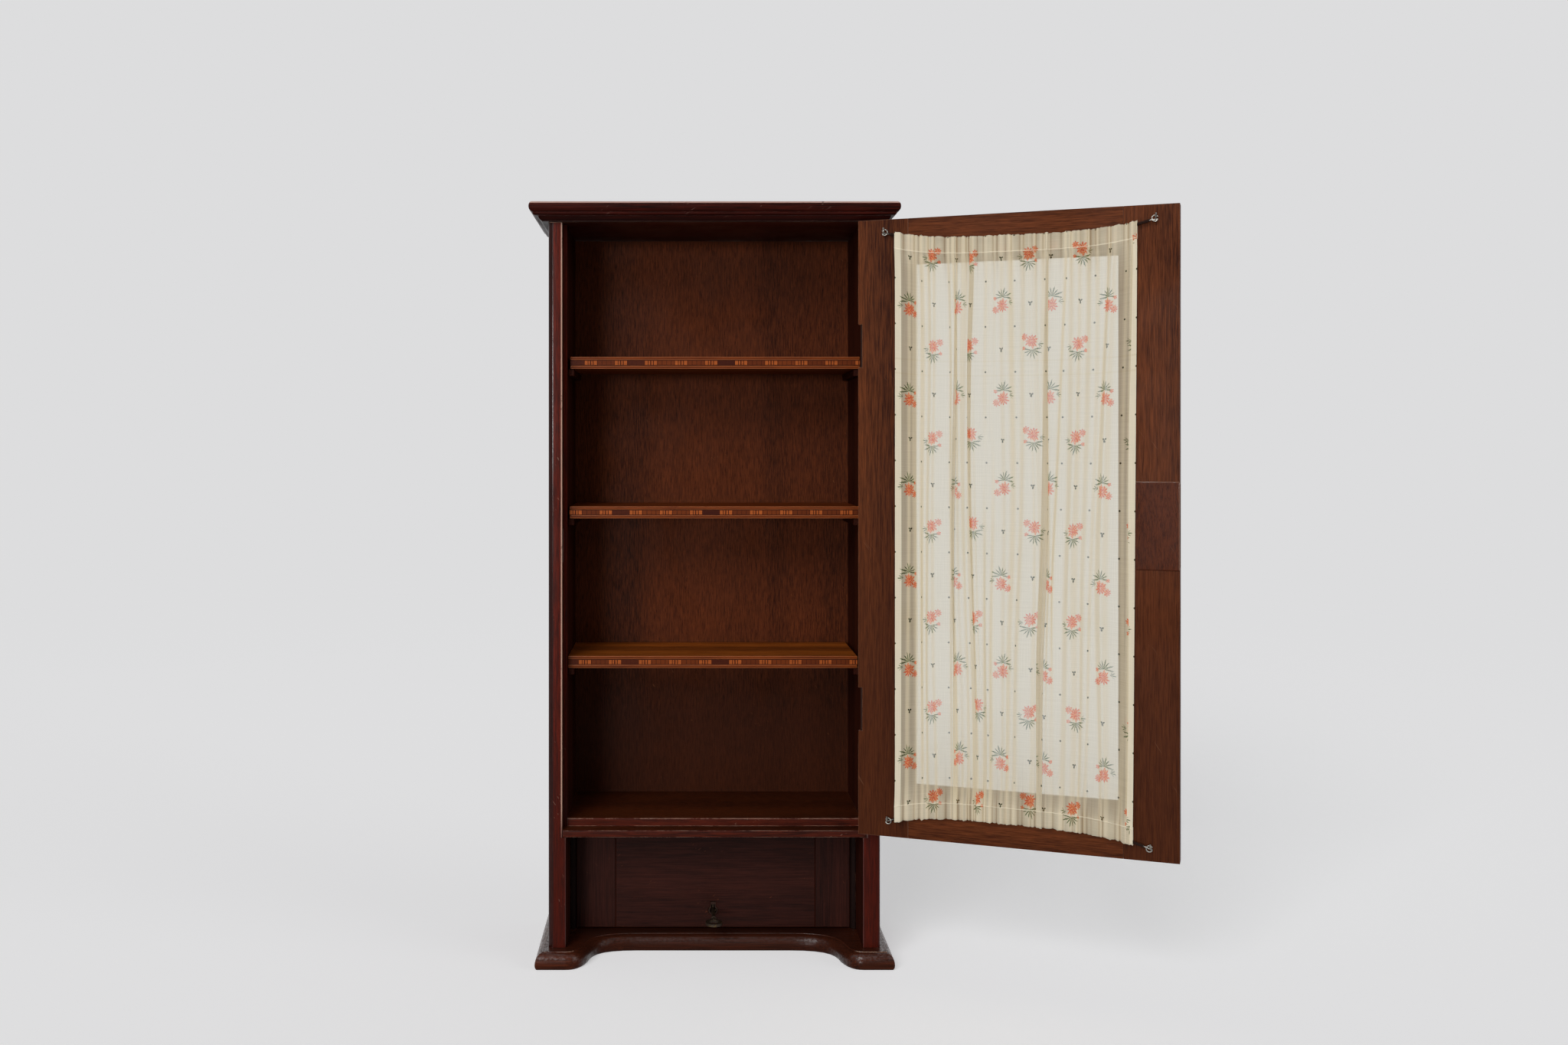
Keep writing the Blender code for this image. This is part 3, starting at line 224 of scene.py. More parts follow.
class Graph:
    """A node tree with short calls that add nodes and join their sockets."""

    def __init__(self, tree):
        self.tree = tree

    def node(self, kind, inputs=None, **values):
        """Adds a node with its values set and its inputs fed."""
        made = self.tree.nodes.new("ShaderNode" + kind)
        for name, value in values.items():
            setattr(made, name, value)
        for name, value in (inputs or {}).items():
            self.feed(made.inputs[name], value)
        return made

    def feed(self, socket, value):
        """Joins a socket to another, or sets it."""
        if isinstance(value, bpy.types.NodeSocket):
            self.tree.links.new(value, socket)
        elif socket.type == "RGBA" and len(value) == 3:
            socket.default_value = (*value, 1.0)
        else:
            socket.default_value = value

    def use(self, group, **inputs):
        """Adds a node group and gives its results by name."""
        made = self.tree.nodes.new("ShaderNodeGroup")
        made.node_tree = group
        for name, value in inputs.items():
            self.feed(made.inputs[name], value)
        return made.outputs

    def math(self, operation, first, second=0.0, third=0.0):
        return self.node("Math", {0: first, 1: second, 2: third}, operation=operation).outputs[0]

    def times(self, first, second):
        return self.math("MULTIPLY", first, second)

    def plus(self, first, second):
        return self.math("ADD", first, second)

    def less(self, first, second):
        return self.math("SUBTRACT", first, second)

    def most(self, first, second):
        return self.math("MAXIMUM", first, second)

    def size(self, value):
        return self.math("ABSOLUTE", value)

    def line(self, value, slope, start):
        """A straight line of the value, from its start."""
        return self.math("MULTIPLY_ADD", value, slope, start)

    def step(self, value, low, high, to_low=0.0, to_high=1.0):
        """A soft step of the value between low and high."""
        sockets = {"Value": value, "From Min": low, "From Max": high, "To Min": to_low, "To Max": to_high}
        return self.node("MapRange", sockets, interpolation_type="SMOOTHSTEP").outputs[0]

    def blend(self, amount, first, second):
        return self.node("Mix", {0: amount, 6: first, 7: second}, data_type="RGBA").outputs[2]

    def noise(self, vector, scale, detail=2.0, rough=0.5, distortion=0.0):
        sockets = {
            "Vector": vector, "Scale": scale, "Detail": detail, "Roughness": rough, "Distortion": distortion
        }
        return self.node("TexNoise", sockets).outputs[0]

    def vector(self, operation, first, second):
        return self.node("VectorMath", {0: first, 1: second}, operation=operation).outputs[0]

    def reach(self, vector):
        """How long a vector is."""
        return self.node("VectorMath", {0: vector}, operation="LENGTH").outputs["Value"]

    def turned(self, vector, turns):
        return self.node("Mapping", {"Vector": vector, "Rotation": turns}).outputs[0]

    def split(self, vector):
        return self.node("SeparateXYZ", {0: vector}).outputs

    def join(self, x=0.0, y=0.0, z=0.0):
        return self.node("CombineXYZ", {0: x, 1: y, 2: z}).outputs[0]

    def place(self):
        """Where a point is on its object."""
        return self.node("TexCoord").outputs["Object"]

    def field(self, name):
        """A value that the mesh carries at its points."""
        return self.node("Attribute", attribute_name=name).outputs["Fac"]


def node_group(name, vectors, values, fill):
    """A shader node group, built once from named vectors and values; fill joins them to its named results."""
    found = bpy.data.node_groups.get(name)
    if found:
        return found
    tree = bpy.data.node_groups.new(name, "ShaderNodeTree")
    for label in vectors:
        tree.interface.new_socket(label, in_out="INPUT", socket_type="NodeSocketVector")
    for label in values:
        tree.interface.new_socket(label, in_out="INPUT", socket_type="NodeSocketFloat")
    graph = Graph(tree)
    results = fill(graph, tree.nodes.new("NodeGroupInput").outputs)
    for label in results:
        tree.interface.new_socket(label, in_out="OUTPUT", socket_type="NodeSocketFloat")
    end = tree.nodes.new("NodeGroupOutput")
    for label, value in results.items():
        graph.feed(end.inputs[label], value)
    return tree


# Noise scales of a wood's broad figure and patches, and how far each part of the grain swings its tone
FIGURE_SCALE = 7.0
PATCH_SCALE = 16.0
RINGS_SWING = 0.13
FIBRE_SWING = 0.42
PATCH_SWING = 0.15
# Pores are finer than the fibre, and shorter
PORE_STRETCH = (1.6, 1.6, 2.6)
PORE_STEP = (0.55, 0.72)


def grain_group():
    """Wood cut along Z: broad figure, fine fibre, and short dark pores."""

    def fill(graph, given):
        along = graph.vector("MULTIPLY", given["Vector"], graph.join(1.0, 1.0, given["Stretch"]))
        field = graph.noise(along, FIGURE_SCALE, detail=1.5, rough=0.45, distortion=0.3)
        rings = graph.math("SINE", graph.times(field, given["Figure"]))
        fibre = graph.noise(along, given["Fibre"], detail=3.0, rough=0.65)
        patch = graph.noise(along, PATCH_SCALE)
        tone = graph.line(rings, RINGS_SWING, 0.5)
        tone = graph.plus(tone, graph.step(fibre, 0.25, 0.75, -FIBRE_SWING, FIBRE_SWING))
        tone = graph.plus(tone, graph.step(patch, 0.3, 0.7, -PATCH_SWING, PATCH_SWING))
        short = graph.vector("MULTIPLY", along, PORE_STRETCH)
        pores = graph.step(graph.noise(short, given["Fibre"], detail=1.0), *PORE_STEP)
        pores = graph.times(pores, given["Pores"])
        return {"Tone": tone, "Pores": pores, "Height": graph.less(fibre, pores)}

    return node_group("wood grain", ("Vector",), ("Figure", "Fibre", "Stretch", "Pores"), fill)


# Scratches run aslant in long thin streaks, and only in some places
SCRATCH_TURN = {"Angle": 0.6, "Axis": (0.3, 1.0, 0.2)}
SCRATCH_THIN = (1.0, 1.0, 0.05)
SCRATCH_SCALE = 620.0
RARE_SCALE = 23.0


def handling_group():
    """Years of use: broad smudges in the polish, and sparse short scratches."""

    def fill(graph, given):
        smudge = graph.noise(given["Vector"], given["Scale"], detail=4.0, rough=0.6, distortion=0.4)
        aslant = graph.node("VectorRotate", {"Vector": given["Vector"], **SCRATCH_TURN}).outputs[0]
        thin = graph.vector("MULTIPLY", aslant, SCRATCH_THIN)
        scratch = graph.step(graph.noise(thin, SCRATCH_SCALE, detail=1.0), 0.70, 0.74)
        rare = graph.step(graph.noise(given["Vector"], RARE_SCALE, detail=1.0), 0.56, 0.66)
        return {"Smudge": graph.step(smudge, 0.35, 0.7), "Scratch": graph.times(scratch, rare)}

    return node_group("handling", ("Vector",), ("Scale",), fill)


# Noise scale and weight of the broad and the fine parts of edge wear, and how softly a worn run ends
WEAR_BROAD = (24.0, 0.75)
WEAR_FINE = (260.0, 0.55)
WEAR_SOFT = 0.16


def rubbed_group():
    """Edge wear in broken runs: where it is high, polish and colour have gone."""

    def fill(graph, given):
        broad = graph.noise(given["Vector"], WEAR_BROAD[0], detail=3.0, rough=0.6)
        fine = graph.noise(given["Vector"], WEAR_FINE[0], detail=3.0, rough=0.7)
        both = graph.line(fine, WEAR_FINE[1], graph.times(broad, WEAR_BROAD[1]))
        low = graph.less(1.0, given["Amount"])
        return {"Rubbed": graph.step(both, low, graph.plus(low, WEAR_SOFT))}

    return node_group("rubbed edge", ("Vector",), ("Amount",), fill)


def blank(name):
    """A new material with only a Principled BSDF, as its graph and that shader."""
    material = bpy.data.materials.new(name)
    material.use_nodes = True
    return material, Graph(material.node_tree), material.node_tree.nodes["Principled BSDF"]


def bump(graph, skin, height, amount, depth):
    """Roughens a shader's surface by a height."""
    made = graph.node("Bump", {"Height": height, "Strength": amount, "Distance": depth})
    graph.feed(skin.inputs["Normal"], made.outputs[0])


# How each wood is cut and polished: figure, fibre, stretch along the grain, pores, roughness, gloss, coat
WOOD_CUT = {
    "case": (22.0, 520.0, 0.060, 0.30, 0.34, 0.06, 0.0),
    "stile": (22.0, 520.0, 0.060, 0.30, 0.34, 0.06, 0.0),
    "back": (16.0, 620.0, 0.075, 0.50, 0.46, 0.04, 0.0),
    "door": (24.0, 600.0, 0.045, 0.36, 0.42, 0.04, 0.0),
    "cover": (20.0, 600.0, 0.150, 0.40, 0.40, 0.05, 0.0),
    "shelf": (34.0, 640.0, 0.030, 0.30, 0.40, 0.05, 0.0),
    "tread": (34.0, 640.0, 0.030, 0.30, 0.45, 0.05, 0.0),
    "flap": (38.0, 640.0, 0.030, 0.30, 0.38, 0.05, 0.0),
    "plinth": (30.0, 760.0, 0.024, 0.30, 0.34, 0.05, 1.0),
    "cornice": (30.0, 760.0, 0.024, 0.30, 0.34, 0.03, 1.0),
    "corner": (30.0, 760.0, 0.024, 0.30, 0.30, 0.03, 0.26),
    "inside": (30.0, 760.0, 0.024, 0.30, 0.50, 0.03, 0.0),
    "niche": (30.0, 760.0, 0.024, 0.30, 0.50, 0.03, 0.0),
}
GRAIN_TURNS = {"X": (0.0, math.pi / 2, 0.0), "Y": (math.pi / 2, 0.0, 0.0), "Z": (0.0, 0.0, 0.0)}
GRAIN_BUMP = (0.22, 0.0004)
# A pore's colour as a share of the dark grain's, and how strongly scratches and rubbed edges show
PORE_DARK = 0.45
SCRATCH_SHOWS = 0.22
RUBBED_SHOWS = 0.75
SMUDGE_SCALE = 9.0
# What smudges, pores and rubbed edges add to the roughness, and how much smoother a clean polish is
SMUDGE_ROUGHENS = 0.16
PORES_ROUGHEN = 0.18
RUBS_ROUGHEN = 0.08
CLEAN_SMOOTHER = 0.06
# Rubbed edges that start at a height come in this far below and above it
WORN_FADE = 0.03
# Painted light and shade: woods that are darker lower down, as painted falloff of the light down the back, painted
# shade under the cornice's nose and a painted sheen higher up on the door and sides; the heights between which
# they change, and how far towards the dark grain
PAINTED_SHADE_LOW = {
    ("back", "Z"): (0.26, 0.44, 0.75),
    ("door", "Z"): (0.25, 0.85, 0.60),
    ("stile", "Z"): (0.22, 0.36, 0.55),
    ("cornice", "X"): (0.968, 0.984, 0.9),
    ("cornice", "Y"): (0.968, 0.984, 0.9),
}
# Painted shade: the plinth is darker in its recess between its feet: the distances from the middle between which
# it changes, and how far
RECESS_PAINTED_SHADE = (0.150, 0.190, 0.50)
# Coats of polish: their roughness, and the share of their weight that is left in dull patches
CORNER_COAT = (0.12, 0.6)
PLAIN_COAT = (0.22, 0.1)
COAT_SCALE = 330.0
# The coat's weight on the rubbed edges of other woods
EDGE_COAT = 0.6
# Mouldings whose polish shines where they face up or aside: the turns between which it comes in
SHINE_UPWARD = {"plinth": (0.05, 0.6), "cornice": (0.55, 0.95)}
SHINE_SIDEWAYS = (0.6, 0.9)


def coat_weight(graph, finish, place, coat, left):
    """The weight of a coat: dull in patches, and on a moulding only where it faces up or aside."""
    shine = graph.step(graph.noise(place, COAT_SCALE, detail=4.0, rough=0.7), 0.40, 0.60, left * coat, coat)
    if finish in SHINE_UPWARD:
        sideways, _, upward = graph.split(graph.node("NewGeometry").outputs["Normal"])
        up = graph.step(upward, *SHINE_UPWARD[finish])
        aside = graph.step(graph.size(sideways), *SHINE_SIDEWAYS)
        shine = graph.times(shine, graph.most(up, aside))
    return shine


def wood(finish, axis, turn=0.0, worn=0.0, worn_above=0.0):
    """One wood with its grain along an axis, turned with the open door.

    worn is how much an edge is rubbed, above the height worn_above."""
    name = f"{finish}_polish_{axis.lower()}" + (f"_worn_{worn:g}" if worn else "")
    if name in bpy.data.materials:
        return bpy.data.materials[name]
    dark, light, rubs_and_highlights = (getattr(settings().woods, f"{finish}_{tone}") for tone in TONES)
    figure, fibre, stretch, pores, rough, sheen, coat = WOOD_CUT[finish]
    material, graph, skin = blank(name)
    place = graph.place()
    if turn:
        place = graph.turned(place, (0.0, 0.0, -turn))
    along = graph.turned(place, GRAIN_TURNS[axis])
    grain = graph.use(grain_group(), Vector=along, Figure=figure, Fibre=fibre, Stretch=stretch, Pores=pores)
    use = graph.use(handling_group(), Vector=along, Scale=SMUDGE_SCALE)
    base = graph.blend(grain["Tone"], dark, light)
    base = graph.blend(grain["Pores"], base, [c * PORE_DARK for c in dark])
    # Painted shade: darker lower down
    if (finish, axis) in PAINTED_SHADE_LOW:
        base = graph.blend(graph.step(graph.split(place)[2], *PAINTED_SHADE_LOW[finish, axis], 0.0), base, dark)
    # Painted shade in the plinth's recess between its feet
    if finish == "plinth":
        recess_shade = graph.step(graph.size(graph.split(place)[0]), *RECESS_PAINTED_SHADE, 0.0)
        base = graph.blend(recess_shade, base, dark)
    base = graph.blend(graph.times(use["Scratch"], SCRATCH_SHOWS), base, rubs_and_highlights)
    gloss = graph.line(use["Smudge"], SMUDGE_ROUGHENS, rough - CLEAN_SMOOTHER)
    gloss = graph.line(grain["Pores"], PORES_ROUGHEN, gloss)
    if worn:
        rubbed = graph.use(rubbed_group(), Vector=along, Amount=worn)["Rubbed"]
        if worn_above:
            high = graph.step(graph.split(place)[2], worn_above - WORN_FADE, worn_above + WORN_FADE)
            rubbed = graph.times(rubbed, high)
        # Rubbed edges: real wear, and on the case, sides, plinth and cornice partly a painted highlight in their
        # pale worn colour
        base = graph.blend(graph.times(rubbed, RUBBED_SHOWS), base, rubs_and_highlights)
        gloss = graph.line(rubbed, RUBS_ROUGHEN, gloss)
    graph.feed(skin.inputs["Base Color"], base)
    graph.feed(skin.inputs["Roughness"], gloss)
    skin.inputs["Specular IOR Level"].default_value = sheen
    coat_rough, coat_left = CORNER_COAT if finish == "corner" else PLAIN_COAT
    if coat:
        shine = coat_weight(graph, finish, place, coat, coat_left)
        if finish == "plinth":
            shine = graph.times(shine, graph.less(1.0, recess_shade))
        graph.feed(skin.inputs["Coat Weight"], shine)
    else:
        skin.inputs["Coat Weight"].default_value = EDGE_COAT if worn else 0.0
    skin.inputs["Coat Roughness"].default_value = coat_rough
    bump(graph, skin, grain["Height"], *GRAIN_BUMP)
    return material


# Metals: colour, roughness, and how much of it the dull film covers
IRON = ("iron", 0.60, 0.8)
BRASS = ("brass", 0.34, 0.7)
STEEL = ("steel", 0.42, 0.8)
BRIGHT_STEEL = ("steel", 0.28, 0.4)
# The film: its noise scale, where it sets in on a clean metal, and how it alters roughness and metal
FILM_SCALE = 170.0
FILM_STEP = (0.62, 0.78)
FILM_SPREADS = 0.4
FILM_ROUGHENS = 0.22
FILM_HIDES = -0.35
METAL_BUMP = (0.15, 0.0002)
PIT_SCALE = 900.0


def metal(name, rough, dull_share):
    """A metal with a dull film that has settled in patches."""
    label = f"{name}_metal_{dull_share:g}"
    if label in bpy.data.materials:
        return bpy.data.materials[label]
    metals = settings().metals
    material, graph, skin = blank(label)
    place = graph.place()
    sets_in = [end - dull_share * FILM_SPREADS for end in FILM_STEP]
    film = graph.step(graph.noise(place, FILM_SCALE, detail=4.0, rough=0.65), *sets_in)
    base = graph.blend(film, getattr(metals, name), getattr(metals, name + "_dull"))
    graph.feed(skin.inputs["Base Color"], base)
    graph.feed(skin.inputs["Roughness"], graph.line(film, FILM_ROUGHENS, rough))
    graph.feed(skin.inputs["Metallic"], graph.line(film, FILM_HIDES, 1.0))
    bump(graph, skin, graph.noise(place, PIT_SCALE, detail=3.0), *METAL_BUMP)
    return material


# Meshes

# How near two points are one; angles that count as flat, sharp and to be eased; how much flat faces shade
MERGE_WITHIN = 1e-6
FLAT_DEG = 0.4
SHARP_DEG = 38.0
EASED_DEG = 40.0
FLATS_WEIGH = 90


def link(name, data):
    """A new object in the scene."""
    piece = bpy.data.objects.new(name, data)
    bpy.context.scene.collection.objects.link(piece)
    return piece


def smooth_mesh(mesh, angle_deg=SHARP_DEG):
    """Smooth shading, but for edges sharper than an angle."""
    mesh.shade_smooth()
    mesh.set_sharp_from_angle(angle=math.radians(angle_deg))


def ease_edges(piece_mesh, source, width, steps, angle_deg):
    """Copies a faceted board, merges its flat faces and rounds its edges; the roundings take slot 1."""
    form = bmesh.new()
    form.from_mesh(source)
    bmesh.ops.remove_doubles(form, verts=form.verts, dist=MERGE_WITHIN)
    bmesh.ops.dissolve_limit(form, angle_limit=math.radians(FLAT_DEG), verts=form.verts, edges=form.edges)
    for face in form.faces:
        face.material_index = 0
    sharp = math.radians(angle_deg)
    edges = [edge for edge in form.edges if edge.is_manifold and edge.calc_face_angle() > sharp]
    if width > 0.0 and edges:
        bmesh.ops.bevel(
            form, geom=edges, offset=width, offset_type="OFFSET", segments=steps, profile=0.5,
            affect="EDGES", clamp_overlap=True, material=1,
        )
    form.to_mesh(piece_mesh)
    form.free()


def remake(
    node, surface, edge, width, steps=2, angle_deg=EASED_DEG, others=(), plain_edge=None, reshape=None
):
    """A node's board with eased edges, standing in its place on its body.

    Each of the others is a surface and a test of a face that picks the flat faces it goes on; plain_edge is a
    test of an edge's faces that picks the ones with no wear; reshape alters the eased mesh."""
    mesh = bpy.data.meshes.new(node + "_eased")
    ease_edges(mesh, NODES[node].data, width, steps, angle_deg)
    if reshape:
        reshape(mesh)
    mesh.materials.append(surface)
    mesh.materials.append(edge)
    if plain_edge:
        for face in mesh.polygons:
            if plain_edge(face):
                face.material_index = 0
    for slot, (other, picks) in enumerate(others, 2):
        mesh.materials.append(other)
        for face in mesh.polygons:
            if face.material_index == 0 and picks(face):
                face.material_index = slot
    smooth_mesh(mesh)
    piece = link(node + "_eased", mesh)
    even = piece.modifiers.new("Even shading", "WEIGHTED_NORMAL")
    even.weight = FLATS_WEIGH
    even.keep_sharp = True
    place(piece, node)


def board(node, finish, axis, eased, turn=0.0, **more):
    """A board of one wood; eased is the rounding of its edges, and how much they are rubbed."""
    width, rubbed = eased
    remake(node, wood(finish, axis, turn), wood(finish, axis, turn, rubbed), width, **more)


def place(piece, node):
    """Rides a piece on a node's body in that node's stead."""
    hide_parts(node)
    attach(piece, BODY_OF[node])


def dress(nodes, surface):
    """Gives nodes that stay as they are a material."""
    for node in nodes:
        NODES[node].material_slots[0].material = surface


# A direction that no path runs along, to start a tube's sides from
ASKEW = (0.31, 0.53, 0.79)


def sweep(path, radius, sides):
    """Points and faces of a tube of one radius along a path, closed at its ends."""
    path = np.asarray(path, float)
    tangents = np.gradient(path, axis=0)
    tangents /= np.linalg.norm(tangents, axis=1)[:, None]
    side = np.cross(tangents[0], ASKEW)
    points = []
    for spot, ahead in zip(path, tangents):
        side = side - ahead * np.dot(side, ahead)
        side /= np.linalg.norm(side)
        up = np.cross(ahead, side)
        for k in range(sides):
            turn = 2 * math.pi * k / sides
            points.append(spot + radius * (math.cos(turn) * side + math.sin(turn) * up))
    faces = []
    for ring in range(len(path) - 1):
        low, high = ring * sides, (ring + 1) * sides
        for k in range(sides):
            after = (k + 1) % sides
            faces.append((low + k, low + after, high + after, high + k))
    faces.append(tuple(reversed(range(sides))))
    faces.append(tuple(range((len(path) - 1) * sides, len(path) * sides)))
    return points, faces


def mesh_of(name, parts, matrix):
    """One mesh from several lists of points and faces, moved by a matrix."""
    points, faces = [], []
    for some_points, some_faces in parts:
        start = len(points)
        points.extend(tuple(p) for p in some_points)
        faces.extend(tuple(start + i for i in face) for face in some_faces)
    mesh = bpy.data.meshes.new(name)
    mesh.from_pydata(points, [], faces)
    mesh.transform(matrix)
    mesh.update()
    return mesh


# Case, mouldings, shelves, door and flap

# Rounding of the boards' edges in metres, and how much they are rubbed
TOP_RUBBED = 0.5
SIDE_EDGE = (0.0011, 0.6)
FLOOR_EDGE = (0.0012, 0.46)
JAMB_EDGE = (0.0008, 0.4)
CORNICE_EDGE = (0.0005, 0.6)
PLINTH_EDGE = (0.0006, 0.46)
SHELF_EDGE = (0.0008, 0.6)
DOOR_EDGE = (0.0007, 0.5)
COVER_EDGE = (0.0005, 0.66)
# Rounding of the flap and the metal, how sharp metal has to be, and the steps of a fine rounding
FLAP_EDGE = 0.0006
METAL_EDGE = 0.0003
METAL_DEG = 50.0
FINE_STEPS = 3
# Shares of a face's normal at which it looks squarely one way, leans that way, or begins to turn that way
SQUARE_ON = 0.95
LEANS = 0.2
TURNS = 0.1
# The cornice's rubbed faces slope up by these shares; their pale worn colour along the top is partly a painted
# highlight
CORNICE_SLOPE = (0.6, 0.99)
# The plinth's rubbed arrises are on its feet, this far from its middle; their pale worn colour is partly a painted
# highlight
FEET_FROM = 0.183
# The sides' rounded outer corner as modelled and as it looks, and how far back their rubbed front arris goes; the
# arris's pale worn colour is partly a painted highlight
CORNER_MODELLED = 3.4 * MM
CORNER_SEEN = 6.5 * MM
CORNER_PLAY = 0.02 * MM
ARRIS_DEEP = 6.0 * MM


def round_corner(mesh, corner, inward):
    """Widens a board's rounded upright corner: its points keep their angle and move to a larger radius."""
    for vertex in mesh.vertices:
        across = (vertex.co.x - corner.x) * inward
        deep = vertex.co.y - corner.y
        if max(across, deep) < CORNER_MODELLED + CORNER_PLAY:
            turn = math.atan2(CORNER_MODELLED - deep, CORNER_MODELLED - across)
            vertex.co.x = corner.x + inward * CORNER_SEEN * (1.0 - math.cos(turn))
            vertex.co.y = corner.y + CORNER_SEEN * (1.0 - math.sin(turn))


def finish_side(node, inward, corner_wood, rub_from):
    """One side of the case: painted shade on its inside faces, a polished rounded outer corner of the given wood,
    and a rubbed front arris whose pale worn colour is partly a painted highlight.
    """
    low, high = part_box(node)
    corner = Vector((low.x if inward > 0.0 else high.x, low.y, 0.0))
    width, rubbed = SIDE_EDGE
    edge = wood("stile", "Z", worn=rubbed, worn_above=rub_from)

    def faces_in(face):
        return face.normal.x * inward > SQUARE_ON

    def rounded(face):
        return face.normal.x * inward < -TURNS and face.normal.y < -TURNS

    def set_back(face):
        return face.center.y > low.y + ARRIS_DEEP

    def arris(face):
        return LEANS < face.normal.x * inward <= SQUARE_ON and face.normal.y < -LEANS and not set_back(face)

    # Inside faces: darker inside wood as painted shade; front arris: pale rubbed wood, partly a painted highlight
    remake(
        node, wood("stile", "Z"), edge, width, FINE_STEPS,
        others=((wood("inside", "Z"), faces_in), (corner_wood, rounded), (edge, arris)),
        plain_edge=set_back, reshape=lambda mesh: round_corner(mesh, corner, inward),
    )


def looks_up(face):
    """Whether a face looks squarely up."""
    return face.normal.z > SQUARE_ON


class CABINET_OT_case(bpy.types.Operator):
    """Sides, top, floor, back, bearers and jambs of the case"""

    bl_idname = "cabinet.case"
    bl_label = "Case boards"

    def execute(self, context):
        # The sides' pale rubbed arris, partly a painted highlight, shows above the cupboard floor
        rub_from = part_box("cupboard_floor")[1].z
        # Painted shade: the left side's rounded corner takes the darker corner wood
        finish_side("side_left", 1.0, wood("corner", "Z"), rub_from)
        finish_side("side_right", -1.0, wood("stile", "Z"), rub_from)
        # The top board's and cupboard floor's rubbed edges take the case's pale worn colour, partly a painted
        # highlight
        board("top_board", "case", "X", (settings().woods.edge, TOP_RUBBED))
        worn_top = [(wood("cover", "X"), looks_up)]
        board("cupboard_floor", "case", "X", FLOOR_EDGE, steps=FINE_STEPS, others=worn_top)
        # Painted shade: the jambs take the nearly black niche wood
        for node in ("flap_jamb_left", "flap_jamb_right"):
            board(node, "niche", "Z", JAMB_EDGE)
        dress(["back_panel"], wood("back", "Z"))
        # Painted shade: the cleats take the darker inside wood
        dress([node for node in NODES if node.startswith("cleat_")], wood("inside", "Y"))
        return {"FINISHED"}


class CABINET_OT_mouldings(bpy.types.Operator):
    """Cornice round the top and plinth below"""

    bl_idname = "cabinet.mouldings"
    bl_label = "Cornice and plinth"

    def execute(self, context):
        def slopes_up(face):
            return CORNICE_SLOPE[0] < face.normal.z < CORNICE_SLOPE[1]

        def off_feet(face):
            return abs(face.center.x) < FEET_FROM

        for node, axis in (("cornice_front", "X"), ("cornice_left", "Y"), ("cornice_right", "Y")):
            # The cornice's upward sloping faces take its pale rubbed wood, partly a painted highlight along the
            # top
            rubbed = wood("cornice", axis, worn=CORNICE_EDGE[1])
            board(node, "cornice", axis, CORNICE_EDGE, others=[(rubbed, slopes_up)])
        # The plinth's rubbed arrises, pale and partly a painted highlight, are kept to its feet
        board("plinth", "plinth", "X", PLINTH_EDGE, plain_edge=off_feet)
        return {"FINISHED"}


# Where each shelf's banding starts a repeat, along X
BAND_STARTS = {"upper": -0.1713, "middle": -0.1914, "lower": -0.1792}
# Starts of the blocks in one repeat, in millimetres, with each block's tone; half a tone is a bar
BAR_TONE = 0.5
BAND_BLOCKS = (
    (0.0, 1.0), (3.8, 0.0), (4.8, 0.9), (7.0, 0.0), (8.4, 0.9), (10.6, 0.0), (11.8, 1.0), (16.2, 0.0),
    (17.2, BAR_TONE), (22.4, 0.0), (23.1, BAR_TONE), (28.4, 0.0),
    (29.1, BAR_TONE), (34.4, 0.0), (35.1, BAR_TONE), (39.0, 0.0),
)
# The dark lines along both edges, from the middle of the banding, and how light its lightest bars are
BAND_EDGES = (0.44, 0.37)
BARS_LIT = 0.8
# The grain of the banding: how it is cut, how strongly it shows, and how rough and glossy its polish is
BAND_GRAIN = {"Figure": 20.0, "Fibre": 500.0, "Stretch": 0.1, "Pores": 0.4}
BAND_GRAIN_SHOWS = 0.4
BAND_ROUGH = 0.38
BAND_PORES_ROUGHEN = 0.2
BAND_GLOSS = 0.05
BAND_BUMP = (0.15, 0.0003)


def banding_group():
    """Inlaid banding along X: pale blocks, fine lines and long dark bars, edged by dark lines."""

    def fill(graph, given):
        along = graph.less(graph.split(given["Vector"])[0], given["Start"])
        repeats = graph.math("DIVIDE", along, given["Period"])
        ramp = graph.node("ValToRGB", {0: graph.math("FRACT", repeats)})
        ramp.color_ramp.interpolation = "CONSTANT"
        stops = ramp.color_ramp.elements
        whole = settings().woods.band_period / MM
        for count, (spot, tone) in enumerate(BAND_BLOCKS):
            stop = stops[count] if count < len(stops) else stops.new(spot / whole)
            stop.position = spot / whole
            stop.color = (tone, tone, tone, 1.0)
        off_middle = graph.size(graph.less(graph.split(given["Box"])[2], 0.5))
        inside = graph.step(off_middle, *BAND_EDGES)
        tone = graph.times(ramp.outputs[0], inside)
        chance = graph.node("TexWhiteNoise", {"W": graph.math("FLOOR", repeats)}, noise_dimensions="1D")
        bar = graph.math("COMPARE", ramp.outputs[0], BAR_TONE, 0.1)
        lit = graph.times(graph.times(bar, chance.outputs["Value"]), inside)
        block = graph.times(graph.step(tone, 0.7, 0.8), tone)
        return {"Block": block, "Bar": graph.times(lit, BARS_LIT)}

    return node_group("banding", ("Vector", "Box"), ("Start", "Period"), fill)


